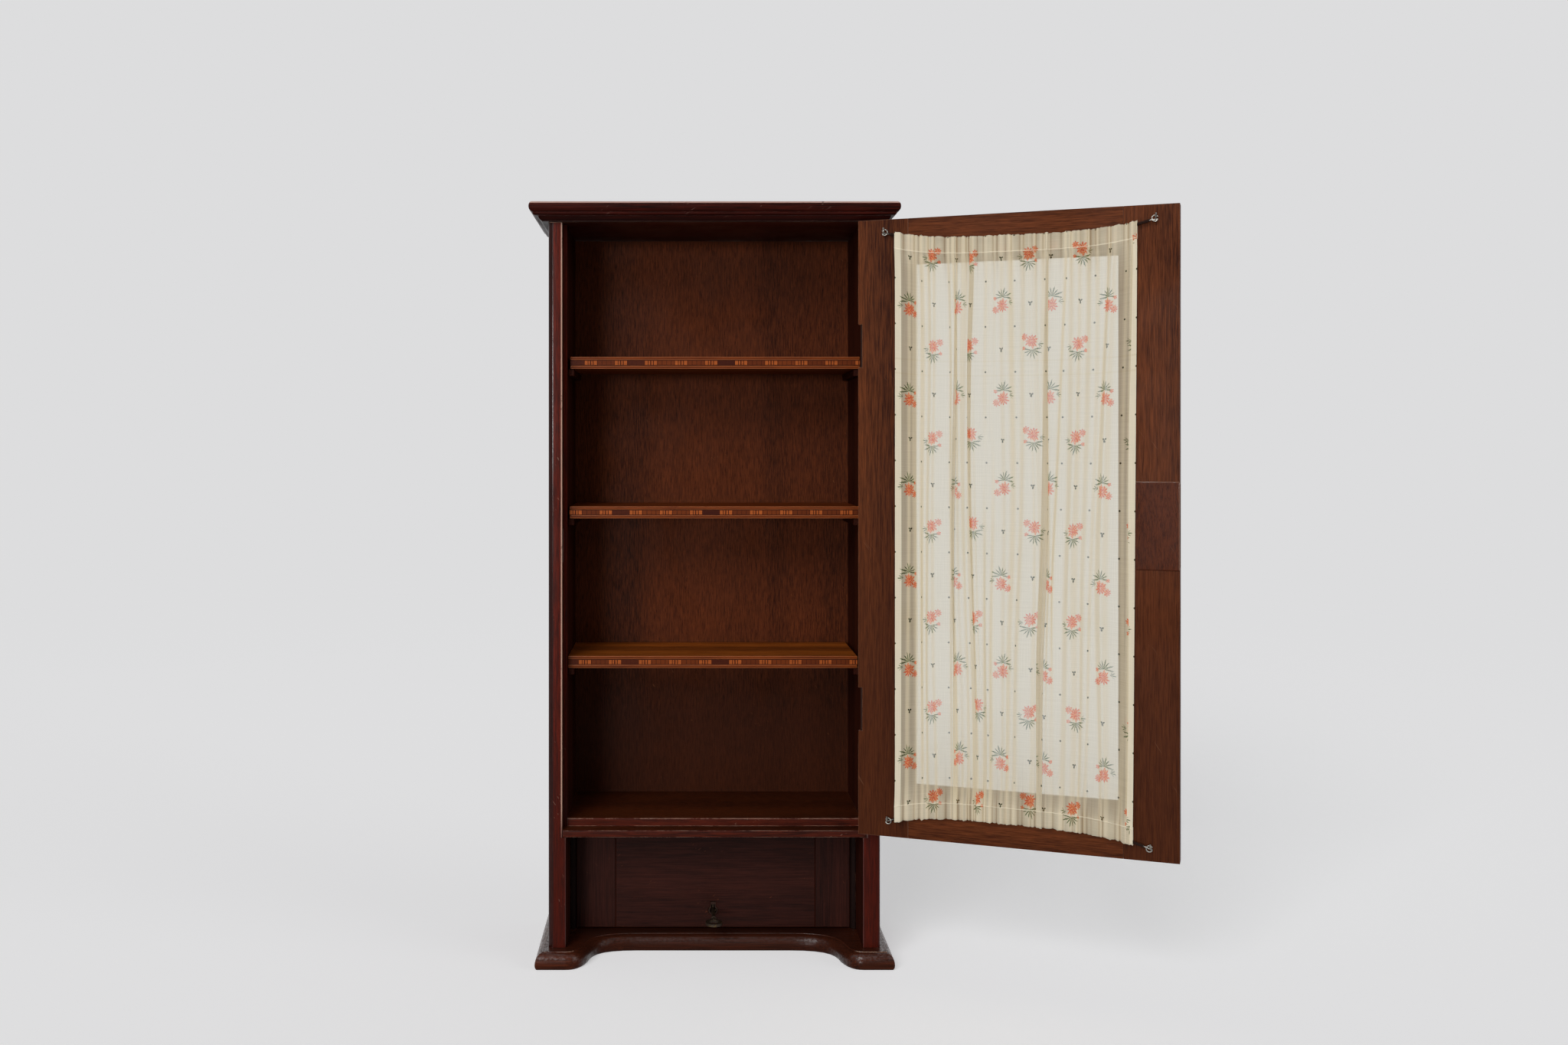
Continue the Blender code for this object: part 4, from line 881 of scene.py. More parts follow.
def banding(level):
    """The banding of one shelf."""
    woods = settings().woods
    material, graph, skin = blank("banding_" + level)
    spots = graph.node("TexCoord").outputs
    band = graph.use(
        banding_group(), Vector=spots["Object"], Box=spots["Generated"],
        Start=BAND_STARTS[level], Period=woods.band_period,
    )
    grain = graph.use(grain_group(), Vector=graph.turned(spots["Object"], GRAIN_TURNS["X"]), **BAND_GRAIN)
    base = graph.blend(band["Bar"], woods.band_dark, woods.shelf_light)
    base = graph.blend(band["Block"], base, woods.band_light)
    base = graph.blend(graph.times(grain["Tone"], BAND_GRAIN_SHOWS), base, woods.shelf_dark)
    graph.feed(skin.inputs["Base Color"], base)
    graph.feed(skin.inputs["Roughness"], graph.line(grain["Pores"], BAND_PORES_ROUGHEN, BAND_ROUGH))
    skin.inputs["Specular IOR Level"].default_value = BAND_GLOSS
    bump(graph, skin, grain["Height"], *BAND_BUMP)
    return material


class CABINET_OT_shelves(bpy.types.Operator):
    """Three loose shelves and the banding let into their front edges"""

    bl_idname = "cabinet.shelves"
    bl_label = "Shelves and banding"

    def execute(self, context):
        for level in BAND_STARTS:
            # Painted light: the lower shelf's top faces take the lighter tread wood, as lit from above
            lit_tops = [(wood("tread", "X"), looks_up)] if level == "lower" else []
            board("shelf_" + level, "shelf", "X", SHELF_EDGE, others=lit_tops)
            dress(["shelf_inlay_" + level], banding(level))
        return {"FINISHED"}


# The pane's bend of light, and its slow waves
GLASS_BEND = 1.45
GLASS_SCALE = 9.0
GLASS_BUMP = (0.05, 0.001)


def glass_surface():
    """Old clear glass; lamps shine through it."""
    material, graph, skin = blank("window_glass")
    skin.inputs["Base Color"].default_value = (*settings().metals.glass, 1.0)
    skin.inputs["Transmission Weight"].default_value = 1.0
    skin.inputs["IOR"].default_value = GLASS_BEND
    skin.inputs["Metallic"].default_value = 0.0
    skin.inputs["Roughness"].default_value = 0.0
    bump(graph, skin, graph.noise(graph.place(), GLASS_SCALE, detail=1.0), *GLASS_BUMP)
    shadow = graph.node("LightPath").outputs["Is Shadow Ray"]
    clear = graph.node("BsdfTransparent")
    both = graph.node("MixShader", {0: shadow, 1: skin.outputs[0], 2: clear.outputs[0]})
    graph.feed(material.node_tree.nodes["Material Output"].inputs["Surface"], both.outputs[0])
    return material


class CABINET_OT_door(bpy.types.Operator):
    """Frame, beads, lock cover and glass of the door"""

    bl_idname = "cabinet.door"
    bl_label = "Door"

    def execute(self, context):
        for node in ("door_stile_hinge", "door_stile_lock", "glazing_bead_hinge", "glazing_bead_lock"):
            board(node, "door", "Z", DOOR_EDGE)
        for node in ("door_rail_top", "door_rail_bottom", "glazing_bead_top", "glazing_bead_bottom"):
            board(node, "door", "X", DOOR_EDGE, DOOR_OPEN)
        middle = sum(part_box("door_lock_cover"), Vector()).z / 2
        board("door_lock_cover", "cover", "Z", COVER_EDGE, plain_edge=lambda face: face.center.z < middle)
        dress(["glass_pane"], glass_surface())
        return {"FINISHED"}


class CABINET_OT_flap(bpy.types.Operator):
    """Clamped board of the flap in the niche"""

    bl_idname = "cabinet.flap"
    bl_label = "Flap"

    def execute(self, context):
        for node, axis in (("flap_board", "X"), ("flap_clamp_left", "Z"), ("flap_clamp_right", "Z")):
            remake(node, wood("flap", axis), wood("inside", axis), FLAP_EDGE)
        return {"FINISHED"}


IRONMONGERY = ("hinge_", "lock_bolt", "lock_case", "strike", "escutcheon", "key")


class CABINET_OT_ironmongery(bpy.types.Operator):
    """Hinges, locks, bolts, strike plate, escutcheon, keyhole liner and key"""

    bl_idname = "cabinet.ironmongery"
    bl_label = "Hinges, locks and key"

    def execute(self, context):
        surfaces = {"iron": metal(*IRON), "brass": metal(*BRASS), "steel": metal(*STEEL)}
        for node in sorted(NODES):
            if SLOT_OF[node] in surfaces and any(word in node for word in IRONMONGERY):
                surface = surfaces[SLOT_OF[node]]
                remake(node, surface, surface, METAL_EDGE, angle_deg=METAL_DEG)
        return {"FINISHED"}


# Curtain wires, hooks and curtain, all laid out on the shut door and swung open

WIRE_R = 2.1 * MM
COIL_WIRE = 0.42 * MM
COIL_PITCH = 1.05 * MM
COIL_POINTS = 9
COIL_SIDES = 6
HOOK_R = 1.1 * MM
# The hooks at each end of a wire, and which way along X they lie
HOOK_WAYS = {"hinge": 1.0, "free": -1.0}
# The eye at a wire's end: a ring open for part of a turn, and its stem's points in millimetres from it
RING_R = 3.6 * MM
RING_WIRE = 0.8 * MM
RING_SLACK = 1.2 * MM
RING_STEPS = 24
RING_SIDES = 8
RING_FROM_DEG = 200.0
RING_TURN_DEG = 312.0
STEM = (1.2, 2.4, 3.8)
COIL_FROM_RING = 2.2 * MM
COIL_SHARP_DEG = 60.0
# How far the cloth draws the middle of each wire towards the other, and how squarely the wire bends
WIRE_DRAW = {"top": -15.3 * MM, "bottom": 16.0 * MM}
WIRE_BEND = 3.5


def shut_points(node):
    """A door node's points as they are when the door is shut."""
    back = np.array(SWING.inverted())
    points = np.array([vertex.co for vertex in NODES[node].data.vertices], float)
    return points @ back[:3, :3].T + back[:3, 3]


def hook_place(end, edge):
    """Where a hook's shank stands on the shut door, in X and Z."""
    points = shut_points(f"curtain_hook_{end}_{edge}")
    low, high = points.min(0), points.max(0)
    return (low[0] + high[0]) / 2, low[2] + HOOK_R


def wire_plane():
    """Where the wires' middles lie in Y on the shut door."""
    points = shut_points("curtain_wire_top")
    return (points[:, 1].min() + points[:, 1].max()) / 2


def wire_height(x, end):
    """A wire's height: straight from hook to hook, then drawn towards the middle by the cloth."""
    free_x, free_z = hook_place(end, "free")
    hinge_x, hinge_z = hook_place(end, "hinge")
    along = np.clip((np.asarray(x) - free_x) / (hinge_x - free_x), 0.0, 1.0)
    drawn = 1.0 - np.abs(2.0 * along - 1.0) ** WIRE_BEND
    return free_z + (hinge_z - free_z) * along + WIRE_DRAW[end] * drawn


def coil_path(end):
    """The turns of a sprung wire between its eyes."""
    reach = RING_SLACK + RING_R + COIL_FROM_RING
    low_x = hook_place(end, "free")[0] + reach
    high_x = hook_place(end, "hinge")[0] - reach
    turns = (high_x - low_x) / COIL_PITCH
    steps = int(turns * COIL_POINTS)
    x = np.linspace(low_x, high_x, steps)
    turn = 2 * math.pi * turns * np.linspace(0.0, 1.0, steps)
    radius = WIRE_R - COIL_WIRE
    y = wire_plane() + radius * np.cos(turn)
    z = wire_height(x, end) + radius * np.sin(turn)
    return np.stack([x, y, z], 1)


def ring_path(end, edge, sign):
    """The eye at a wire's end: a ring round the hook and a straight stem into the coil."""
    hook_x, hook_z = hook_place(end, edge)
    middle = hook_x - sign * RING_SLACK
    plane = wire_plane()
    path = []
    for step in range(RING_STEPS + 1):
        turn = math.radians(RING_FROM_DEG + RING_TURN_DEG * step / RING_STEPS)
        path.append((middle - sign * RING_R * math.cos(turn), plane, hook_z + RING_R * math.sin(turn)))
    path.reverse()
    for reach in STEM:
        x = middle - sign * (RING_R + reach * MM)
        path.append((x, plane, float(wire_height(x, end))))
    return path


class CABINET_OT_wires(bpy.types.Operator):
    """Sprung curtain wires with their eyes, and the four screw hooks"""

    bl_idname = "cabinet.wires"
    bl_label = "Curtain wires and hooks"

    def execute(self, context):
        bright = metal(*BRIGHT_STEEL)
        for end in WIRE_DRAW:
            parts = [sweep(coil_path(end), COIL_WIRE, COIL_SIDES)]
            for edge, sign in HOOK_WAYS.items():
                parts.append(sweep(ring_path(end, edge, sign), RING_WIRE, RING_SIDES))
            mesh = mesh_of(f"curtain_wire_{end}_coil", parts, SWING)
            smooth_mesh(mesh, COIL_SHARP_DEG)
            mesh.materials.append(metal(*IRON))
            mesh.materials.append(bright)
            coil_faces = len(parts[0][1])
            for face in mesh.polygons[coil_faces:]:
                face.material_index = 1
            place(link(mesh.name, mesh), "curtain_wire_" + end)
            for edge in HOOK_WAYS:
                remake(f"curtain_hook_{end}_{edge}", bright, bright, 0.0, angle_deg=METAL_DEG)
        return {"FINISHED"}


# Distances on the shut door that hold the cloth clear of the wires, the wood and the shelves
CASING_R = 2.8 * MM
BODY_OUT = 0.4 * MM
FOLD_DEEP = 2.4 * MM
CLOTH_ENDS = (-0.1488, 0.1476)
EDGE_TAPER = 5.0 * MM
# The grid of the cloth: steps across and down, down the casing's front and back, and round the wire
COLUMN_STEP = 0.8 * MM
ROW_STEP = 6.0 * MM
CASING_STEPS = 7
TURN_STEPS = 8
SEAM_W = 0.8 * MM
SEAM_OUT = 0.5 * MM
# Ranges of the folds' lean in degrees, and of their flat run and turn in millimetres
PLEAT_SHAPE = ((112.0, 152.0), (1.0, 8.0), (3.0, 6.5))
WAVE_SHAPE = ((42.0, 80.0), (0.8, 6.0), (3.0, 8.0))
# How far a fold lies from its even place, as a share of the spacing, and how far it drifts in millimetres
FOLD_STRAYS = (-0.38, 0.38)
FOLD_DRIFTS = (-7.0, 7.0)
# How often a fold swells on its way down, how much its lean and its run change, and how often the run does
SWELLS = (0.4, 1.4)
LEAN_CHANGES = 0.10
RUN_CHANGES = 0.35
RUN_TURNS = 0.7
MOST_LEAN = math.radians(160.0)
MOST_SLANT = 4.0
# Folds are levelled over this width, so that the cloth keeps to its plane
LEVEL_OVER = 56.0 * MM
# A pleat lies beside the hem at the free edge, this far in
HEM_PLEAT = 9.0 * MM
# Where the wire draws the cloth up: how far the puffs between pinches stand out, and how far down they run
PUFF_OUT = 2.0 * MM
PINCH_REACH = 20.0 * MM
RUFFLE_UP = 3.0 * MM
RUFFLE_REACH = 6.5 * MM
# The pinches' spacing and width in millimetres, and their depth
PINCH_SHAPE = ((5.0, 18.0), (0.9, 2.4), (0.4, 1.0))
# Small swellings of the puffs, the ruffle and the seam: their number, and widths and heights in millimetres
PUFF_BUMPS = (90, (1.8, 4.2), (-0.4, 0.4))
RUFFLE_BUMPS = (110, (1.4, 3.2), (-1.2, 1.2))
SEAM_BUMPS = (110, (2.5, 6.0), (-0.5, 0.5))
# The share of the folds' depth that the casing keeps
CASING_FOLDS = 0.4
# The cloth is bunched up at its casings and beside its side hems
GATHER_DENSE = 0.40
SIDE_DENSE = 0.10
SIDE_REACH = 42.0 * MM
# How far the cloth's shading keeps to the flat, as light passes through its folds, and how much less if sewn
FOLD_GLOW = 0.5
SEWN_DULLS = 0.8
FLAT_MAP = "flat cloth"


def bend_rows(rng, flat, shares, middle, lean_deg, run, ramp, drift):
    """One fold's slope across the flat cloth at each share of the height; it drifts and swells going down."""
    waves, start = rng.uniform(*SWELLS), rng.uniform(0.0, 1.0)
    rows = np.zeros((len(shares), len(flat)))
    for row, down in enumerate(shares):
        swell = 1.0 - LEAN_CHANGES + LEAN_CHANGES * math.cos(2 * math.pi * (waves * down + start))
        spot = middle + drift * math.sin(math.pi * (down + start))
        wide = run * (1.0 + RUN_CHANGES * math.sin(2 * math.pi * (RUN_TURNS * down + start)))
        rise = np.clip((wide / 2 + ramp - np.abs(flat - spot)) / ramp, 0.0, 1.0)
        rows[row] = math.radians(lean_deg) * swell * rise * rise * (3.0 - 2.0 * rise)
    return rows


def pleat_fields(cloth, shares):
    """Across the flat cloth, at each share of its height: how far each thread lies across and outwards."""
    rng = random.Random(cloth.seed)
    flat = np.linspace(0.0, cloth.flat_width, int(cloth.flat_width / COLUMN_STEP) + 1)
    inner = cloth.flat_width - 2 * cloth.side_hem
    bends = np.zeros((len(shares), len(flat)))
    for folds, leans, runs, ramps in ((cloth.pleats, *PLEAT_SHAPE), (cloth.waves, *WAVE_SHAPE)):
        for count in range(folds):
            middle = cloth.side_hem + inner / folds * (count + 0.5 + rng.uniform(*FOLD_STRAYS))
            if folds == cloth.pleats and count == 0:
                middle = cloth.side_hem + HEM_PLEAT
            lean = rng.uniform(*leans) * (1 if count % 2 else -1)
            run, ramp, drift = (rng.uniform(*ends) * MM for ends in (runs, ramps, FOLD_DRIFTS))
            bends += bend_rows(rng, flat, shares, middle, lean, run, ramp, drift)
    bends = np.clip(bends, -MOST_LEAN, MOST_LEAN)
    step = flat[1] - flat[0]
    across = np.cumsum(np.cos(bends), axis=1) * step
    outward = np.cumsum(np.sin(bends), axis=1) * step
    window = int(LEVEL_OVER / step)
    kernel = np.hanning(window)
    kernel /= kernel.sum()
    for row in range(len(shares)):
        padded = np.pad(outward[row], window, mode="edge")
        outward[row] -= np.convolve(padded, kernel, mode="same")[window:-window]
    outward *= FOLD_DEEP / np.abs(outward).max()
    across -= across[:, :1]
    across /= across[:, -1:]
    return flat, across, outward, bends


def bumps(rng, flat, count, wides, talls):
    """Small random swellings across the cloth; widths and heights in millimetres."""
    total = np.zeros(len(flat))
    for _ in range(count):
        spot = rng.uniform(0.0, flat[-1])
        wide = rng.uniform(*wides) * MM
        total += rng.uniform(*talls) * MM * np.exp(-(((flat - spot) / wide) ** 2))
    return total


def pinches(rng, flat):
    """Where the casing is drawn up on its wire, 0 to 1 across the cloth."""
    apart, wides, depths = PINCH_SHAPE
    total = np.zeros(len(flat))
    spot = 0.0
    while spot < flat[-1]:
        spot += rng.uniform(*apart) * MM
        wide = rng.uniform(*wides) * MM
        total = np.maximum(total, rng.uniform(*depths) * np.exp(-np.abs(flat - spot) / wide))
    return total


def casing_rows(cloth):
    """The rows of the top casing, from its turned hem round the wire to its seam.

    Each row is (outward from the wire as a share of the casing's radius, height above the wire, 1 or on the
    crest of the seam 2)."""
    rows = []
    for step in range(CASING_STEPS):
        rows.append((-1.0, -cloth.casing * (1.0 - step / CASING_STEPS), 1.0))
    for step in range(TURN_STEPS + 1):
        turn = math.pi * (1.0 - step / TURN_STEPS)
        rows.append((math.cos(turn), CASING_R * math.sin(turn), 1.0))
    for step in range(1, CASING_STEPS):
        rows.append((1.0, -cloth.casing * step / CASING_STEPS, 1.0))
    for ridge in (-1.0, 0.0, 1.0):
        out = 1.0 + SEAM_OUT / CASING_R * (1.0 - abs(ridge))
        rows.append((out, -cloth.casing + SEAM_W - SEAM_W * ridge, 1.0 + (ridge == 0.0)))
    return rows


def near_casing(down, span):
    """1 at the casings, fading into the body of the cloth."""
    return math.exp(-min(down, 1.0 - down) * span / PINCH_REACH)


def cloth_slant(bends, puff_slopes):
    """How steeply the cloth turns from the flat, 0 to 1: the eye passes through more of it there."""
    turn = np.abs(bends) + np.arctan(np.abs(puff_slopes))
    thick = 1.0 / np.maximum(np.abs(np.cos(turn)), 1.0 / MOST_SLANT)
    return (thick - 1.0) / (MOST_SLANT - 1.0)


def hang_curtain(cloth):
    """The gathered sheet: body, casings and turned hems as one grid, with its flat place as its UV map."""
    casing = casing_rows(cloth)
    span = float(wire_height(0.0, "top") - wire_height(0.0, "bottom")) - 2 * cloth.casing
    body_steps = int(span / ROW_STEP)
    plan = [(0.0, "top", *row) for row in casing]
    plan += [(step / body_steps, "body", 0.0, 0.0, 0.0) for step in range(1, body_steps)]
    plan += [(1.0, "bottom", out, -rise, sewn) for out, rise, sewn in reversed(casing)]
    shares = [row[0] for row in plan]
    flat, across, outward, bends = pleat_fields(cloth, shares)
    rng = random.Random(cloth.seed + 1)
    pinch = pinches(rng, flat)
    puff = PUFF_OUT * (1.0 - pinch) + bumps(rng, flat, *PUFF_BUMPS)
    ruffle = RUFFLE_UP * (1.0 - pinch) + bumps(rng, flat, *RUFFLE_BUMPS)
    uneven = bumps(rng, flat, *SEAM_BUMPS)
    plane = wire_plane()
    left, right = CLOTH_ENDS
    points = np.zeros((len(plan), len(flat), 3))
    for row, (down, end, out, rise, sewn) in enumerate(plan):
        low = left + EDGE_TAPER * down
        x = low + (right - low) * across[row]
        top = wire_height(x, "top")
        bottom = wire_height(x, "bottom")
        if end == "body":
            z = (top - cloth.casing) * (1.0 - down) + (bottom + cloth.casing) * down
            near = near_casing(down, span)
            y = plane + BODY_OUT + outward[row] + (CASING_R - BODY_OUT) * near + puff * near
        else:
            on_crest = sewn > 1.0
            lift = uneven if on_crest else ruffle * max(0.0, 1.0 - abs(rise) / RUFFLE_REACH)
            z = top + rise + lift if end == "top" else bottom + rise - lift
            folds = CASING_FOLDS * np.abs(outward[row])
            y = plane + out * CASING_R + (puff * min(1.0, out) + folds if out >= 0.0 else -folds)
        points[row] = np.stack([x, y, z], 1)
    steps_down = np.linalg.norm(np.diff(points, axis=0), axis=2).mean(1)
    down_flat = np.concatenate([[0.0], np.cumsum(steps_down)])
    drawn = np.array([near_casing(down, span) for down in shares])[:, None]
    sewn = np.repeat(np.array([row[4] for row in plan])[:, None], len(flat), axis=1)
    inside_hem = np.minimum(flat, cloth.flat_width - flat) - cloth.side_hem
    bunched = np.where(inside_hem < 0.0, 1.0, SIDE_DENSE * np.clip(1.0 - inside_hem / SIDE_REACH, 0.0, 1.0))
    fields = {
        "doubled": np.maximum(bunched[None, :], GATHER_DENSE * drawn),
        "seam": np.maximum(sewn - 1.0, 0.0),
        "slant": cloth_slant(bends, np.gradient(puff, flat)[None, :] * drawn),
        # Where the casing is pinched: the mask of painted shade in its creases
        "crease": pinch[None, :] * drawn,
    }
    mesh = cloth_mesh("curtain_gathered", points, flat, down_flat, fields)
    even_cloth(mesh, np.minimum(sewn, 1.0).ravel())
    piece = link(mesh.name, mesh)
    piece["flat_length"] = float(down_flat[-1])
    return piece


def cloth_mesh(name, points, flat, down_flat, fields):
    """A grid of cloth on the open door, with its flat place as a UV map and the fields at its points."""
    rows, columns = points.shape[:2]
    faces = []
    for row in range(rows - 1):
        for start in range(row * columns, (row + 1) * columns - 1):
            faces.append((start, start + 1, start + columns + 1, start + columns))
    mesh = bpy.data.meshes.new(name)
    mesh.from_pydata(points.reshape(-1, 3).tolist(), [], faces)
    mesh.transform(SWING)
    mesh.shade_smooth()
    layer = mesh.uv_layers.new(name=FLAT_MAP)
    corners = np.zeros(len(mesh.loops), int)
    mesh.loops.foreach_get("vertex_index", corners)
    spots = np.stack([flat[corners % columns], down_flat[corners // columns]], 1)
    layer.data.foreach_set("uv", spots.ravel().astype(np.float32))
    for label, values in fields.items():
        attribute = mesh.attributes.new(label, "FLOAT", "POINT")
        attribute.data.foreach_set("value", values.ravel().astype(np.float32))
    mesh.update()
    return mesh


def even_cloth(mesh, sewn):
    """Turns the shading of the folds part of the way to the flat of the curtain, less so where it is sewn."""
    flat_way = SWING.to_3x3() @ Vector((0.0, 1.0, 0.0))
    normals = []
    for face in mesh.polygons:
        way = flat_way if face.normal.dot(flat_way) > 0.0 else -flat_way
        for corner in face.vertices:
            glow = FOLD_GLOW * (1.0 - SEWN_DULLS * sewn[corner])
            normals.append(way.lerp(mesh.vertices[corner].normal, 1.0 - glow).normalized())
    mesh.normals_split_custom_set(normals)


class CABINET_OT_curtain(bpy.types.Operator):
    """Gathered muslin curtain with a sprigged print, sewn round both wires"""

    bl_idname = "cabinet.curtain"
    bl_label = "Curtain"

    def execute(self, context):
        cloth = settings().curtain
        piece = hang_curtain(cloth)
        piece.data.materials.append(muslin(cloth))
        place(piece, "curtain")
        return {"FINISHED"}


# Points of a printed star: their shortest length and how far it varies, what a notch leaves, and soft edges
POINT_LENGTH = (0.78, 0.3)
NOTCH_LEAST = 0.01
STAR_EDGE = (1.08, 0.90)
FAN_SOFT = 0.1


def rosette_group():
    """A printed star, blossom or fan: points round a centre, notched between, over part of a turn."""

    def fill(graph, given):
        apart = graph.vector("SUBTRACT", given["Vector"], given["Centre"])
        x, y, _ = graph.split(apart)
        angle = graph.less(graph.math("ARCTAN2", y, x), given["Turn"])
        wrapped = graph.math("WRAP", angle, -math.pi, math.pi)
        points = graph.times(graph.math("DIVIDE", wrapped, 2 * math.pi), given["Points"])
        notch = graph.size(graph.line(graph.math("FRACT", points), 2.0, -1.0))
        left = graph.less(1.0, graph.times(notch, given["Depth"]))
        reach = graph.math("SQRT", graph.most(left, NOTCH_LEAST))
        chance = graph.node("TexWhiteNoise", {"W": graph.math("FLOOR", points)}, noise_dimensions="1D")
        shortest, varies = POINT_LENGTH
        reach = graph.times(reach, graph.line(chance.outputs["Value"], varies, shortest))
        rim = graph.times(reach, given["Radius"])
        inside = graph.step(graph.math("DIVIDE", graph.reach(apart), rim), *STAR_EDGE)
        fan = graph.step(graph.size(wrapped), given["Spread"], graph.less(given["Spread"], FAN_SOFT))
        return {"Mask": graph.times(inside, fan)}

    return node_group("rosette", ("Vector", "Centre"), ("Radius", "Points", "Depth", "Turn", "Spread"), fill)


# The print, in millimetres from the middle of a sprig: X, Y, radius, points, notch, turn, spread
WHOLE = 9.0
BLOOMS = (
    (-1.5, -6.0, 9.8, 11.0, 0.74, 0.3, WHOLE),
    (8.0, -11.0, 5.8, 8.0, 0.74, 1.0, WHOLE),
    (8.5, 3.0, 3.2, 5.0, 0.7, 0.2, WHOLE),
)
# Rings of petals in a blossom from outside in: share of its radius, turn in petals, and if the ring is pale
PETAL_RINGS = (
    (1.0, 0.0, False), (0.80, 0.06, True), (0.70, 0.5, False),
    (0.48, 0.56, True), (0.37, 0.0, False), (0.14, 0.0, True),
)
# How far the inner rings lie towards the stem, as a share of the radius
PETAL_LEAN = 0.5
LEAVES = (
    (-2.0, 5.0, 13.5, 13.0, 1.45, 1.60, 2.00),
    (-10.5, -2.0, 8.5, 11.0, 1.45, 2.90, 0.9),
)
TREFOIL = (0.0, 0.0, 4.0, 3.0, 1.25, 0.5, WHOLE)
DOT_R = 1.25
DOT_SOFT = 0.3
# How far a sprig strays up or down, and how ragged and flecked the ink is
SPRIG_STRAYS = 0.008
SPRIG_SEED = 3.0
RAGGED_SCALE = 520.0
RAGGED = (0.0016, 0.0016, 0.0)
FLECK_SCALE = 900.0
FLECKED = (0.5, 1.0)


def print_group():
    """Sprigs on half-dropped columns of flat cloth, with small trefoils and dots between."""

    def fill(graph, given):
        def rosette(spot, shape, radius_share=1.0, petals_turned=0.0):
            x, y, radius, points, depth, turn, spread = shape
            lean = PETAL_LEAN * radius * (1.0 - radius_share)
            return graph.use(
                rosette_group(), Vector=spot, Centre=(x * MM, (y + lean) * MM, 0.0),
                Radius=radius * radius_share * MM, Points=points, Depth=depth,
                Turn=turn + petals_turned * 2 * math.pi / points, Spread=spread,
            )["Mask"]

        def cell(count, whole):
            return graph.times(graph.less(graph.math("FRACT", count), 0.5), whole)

        u, v, _ = graph.split(given["Vector"])
        columns = graph.math("DIVIDE", u, given["Column"])
        number = graph.math("FLOOR", columns)
        odd = graph.math("MODULO", number, 2.0)
        rows = graph.line(odd, 0.5, graph.math("DIVIDE", v, given["Drop"]))
        cell_x = cell(columns, given["Column"])
        cell_y = cell(rows, given["Drop"])
        spot = graph.join(number, graph.math("FLOOR", rows), SPRIG_SEED)
        chance = graph.node("TexWhiteNoise", {"Vector": spot}).outputs["Value"]
        nudge = graph.line(chance, SPRIG_STRAYS, -SPRIG_STRAYS / 2)
        flip = graph.line(graph.math("GREATER_THAN", chance, 0.5), 2.0, -1.0)
        upside = graph.line(odd, -2.0, 1.0)
        cloud = graph.node("TexNoise", {"Vector": given["Vector"], "Scale": RAGGED_SCALE, "Detail": 1.0})
        ragged = graph.vector("SUBTRACT", cloud.outputs["Color"], (0.5, 0.5, 0.5))
        ragged = graph.vector("MULTIPLY", ragged, RAGGED)
        sprig = graph.join(graph.times(cell_x, flip), graph.times(graph.plus(cell_y, nudge), upside))
        sprig = graph.vector("ADD", sprig, ragged)
        flecks = graph.step(graph.noise(given["Vector"], FLECK_SCALE), 0.34, 0.52, *FLECKED)
        bloom, pale, leaf = 0.0, 0.0, 0.0
        for shape in BLOOMS:
            for radius_share, petals_turned, is_pale in PETAL_RINGS:
                ring = rosette(sprig, shape, radius_share, petals_turned)
                bloom = graph.most(graph.times(ring, flecks), bloom)
                kept = graph.times(graph.less(1.0, ring), pale)
                pale = graph.plus(kept, ring) if is_pale else kept
        for shape in LEAVES:
            leaf = graph.most(rosette(sprig, shape), leaf)
        between = graph.join(cell_x, cell(graph.plus(rows, 0.5), given["Drop"]))
        dots = rosette(graph.vector("ADD", between, ragged), TREFOIL)
        half_x = cell(graph.plus(columns, 0.5), given["Column"])
        quarter = cell(graph.times(rows, 2.0), graph.times(given["Drop"], 0.5))
        far = graph.reach(graph.join(half_x, quarter))
        dots = graph.most(graph.step(far, (DOT_R + DOT_SOFT) * MM, (DOT_R - DOT_SOFT) * MM), dots)
        return {"Bloom": bloom, "Pale": pale, "Leaf": leaf, "Dots": dots}

    return node_group("sprig print", ("Vector",), ("Column", "Drop"), fill)


THREAD = 0.9 * MM
SLUB = 60.0 * MM


def weave_group():
    """Plain weave of uneven threads: how closed it is, and how its weft varies."""

    def fill(graph, given):
        u, v, _ = graph.split(given["Vector"])
        threads = []
        for across, along in ((u, v), (v, u)):
            spot = graph.join(graph.times(across, given["Threads"]), graph.times(along, given["Slubs"]))
            threads.append(graph.noise(spot, 1.0, rough=0.6))
        closed = graph.times(graph.plus(*threads), 0.5)
        return {"Closed": closed, "Weft": graph.step(threads[1], 0.35, 0.65)}

    return node_group("weave", ("Vector",), ("Threads", "Slubs"), fill)


# How strongly folds (partly painted shade), doubled cloth, stains, pressed lines (painted shade), inks, creases
# (painted shade) and seams colour the muslin
FOLDS_SHOW = 0.95
DOUBLED_SHOWS = 0.7
STAINS_SHOW = 0.35
PRESSED_SHADE_SHOWS = 0.3
LEAF_INK = 0.88
BLOOM_INK = 0.96
CREASE_SHADE_SHOWS = 0.85
SEAM_SHOWS = 0.7
STAIN_SCALE = 11.0
STEEP_POWER = 0.6
# Faint pressed lines across the cloth from when it lay folded, shown only as painted shade: where they lie down
# the flat cloth, and their half width
PRESSED_SHADE = (0.186, 0.204)
PRESSED_SHADE_W = 2.0 * MM
# What weave, seams, doubled cloth and ink add to the cloth's cover, its least and most, and pale ink's lack
WEAVE_COVERS = 0.34
SEAM_COVERS = 0.3
DOUBLED_COVERS = 0.42
INK_COVERS = 0.15
LEAST_COVER = 0.15
MOST_COVER = 0.97
PALE_LACKS = -0.6
# Roughness of the cloth and of its weft, and its gloss, nap and threads
CLOTH_ROUGH = 0.82
WEFT_ROUGHENS = 0.1
CLOTH_GLOSS = 0.2
CLOTH_NAP = 0.15
THREAD_BUMP = (0.07, 0.0003)


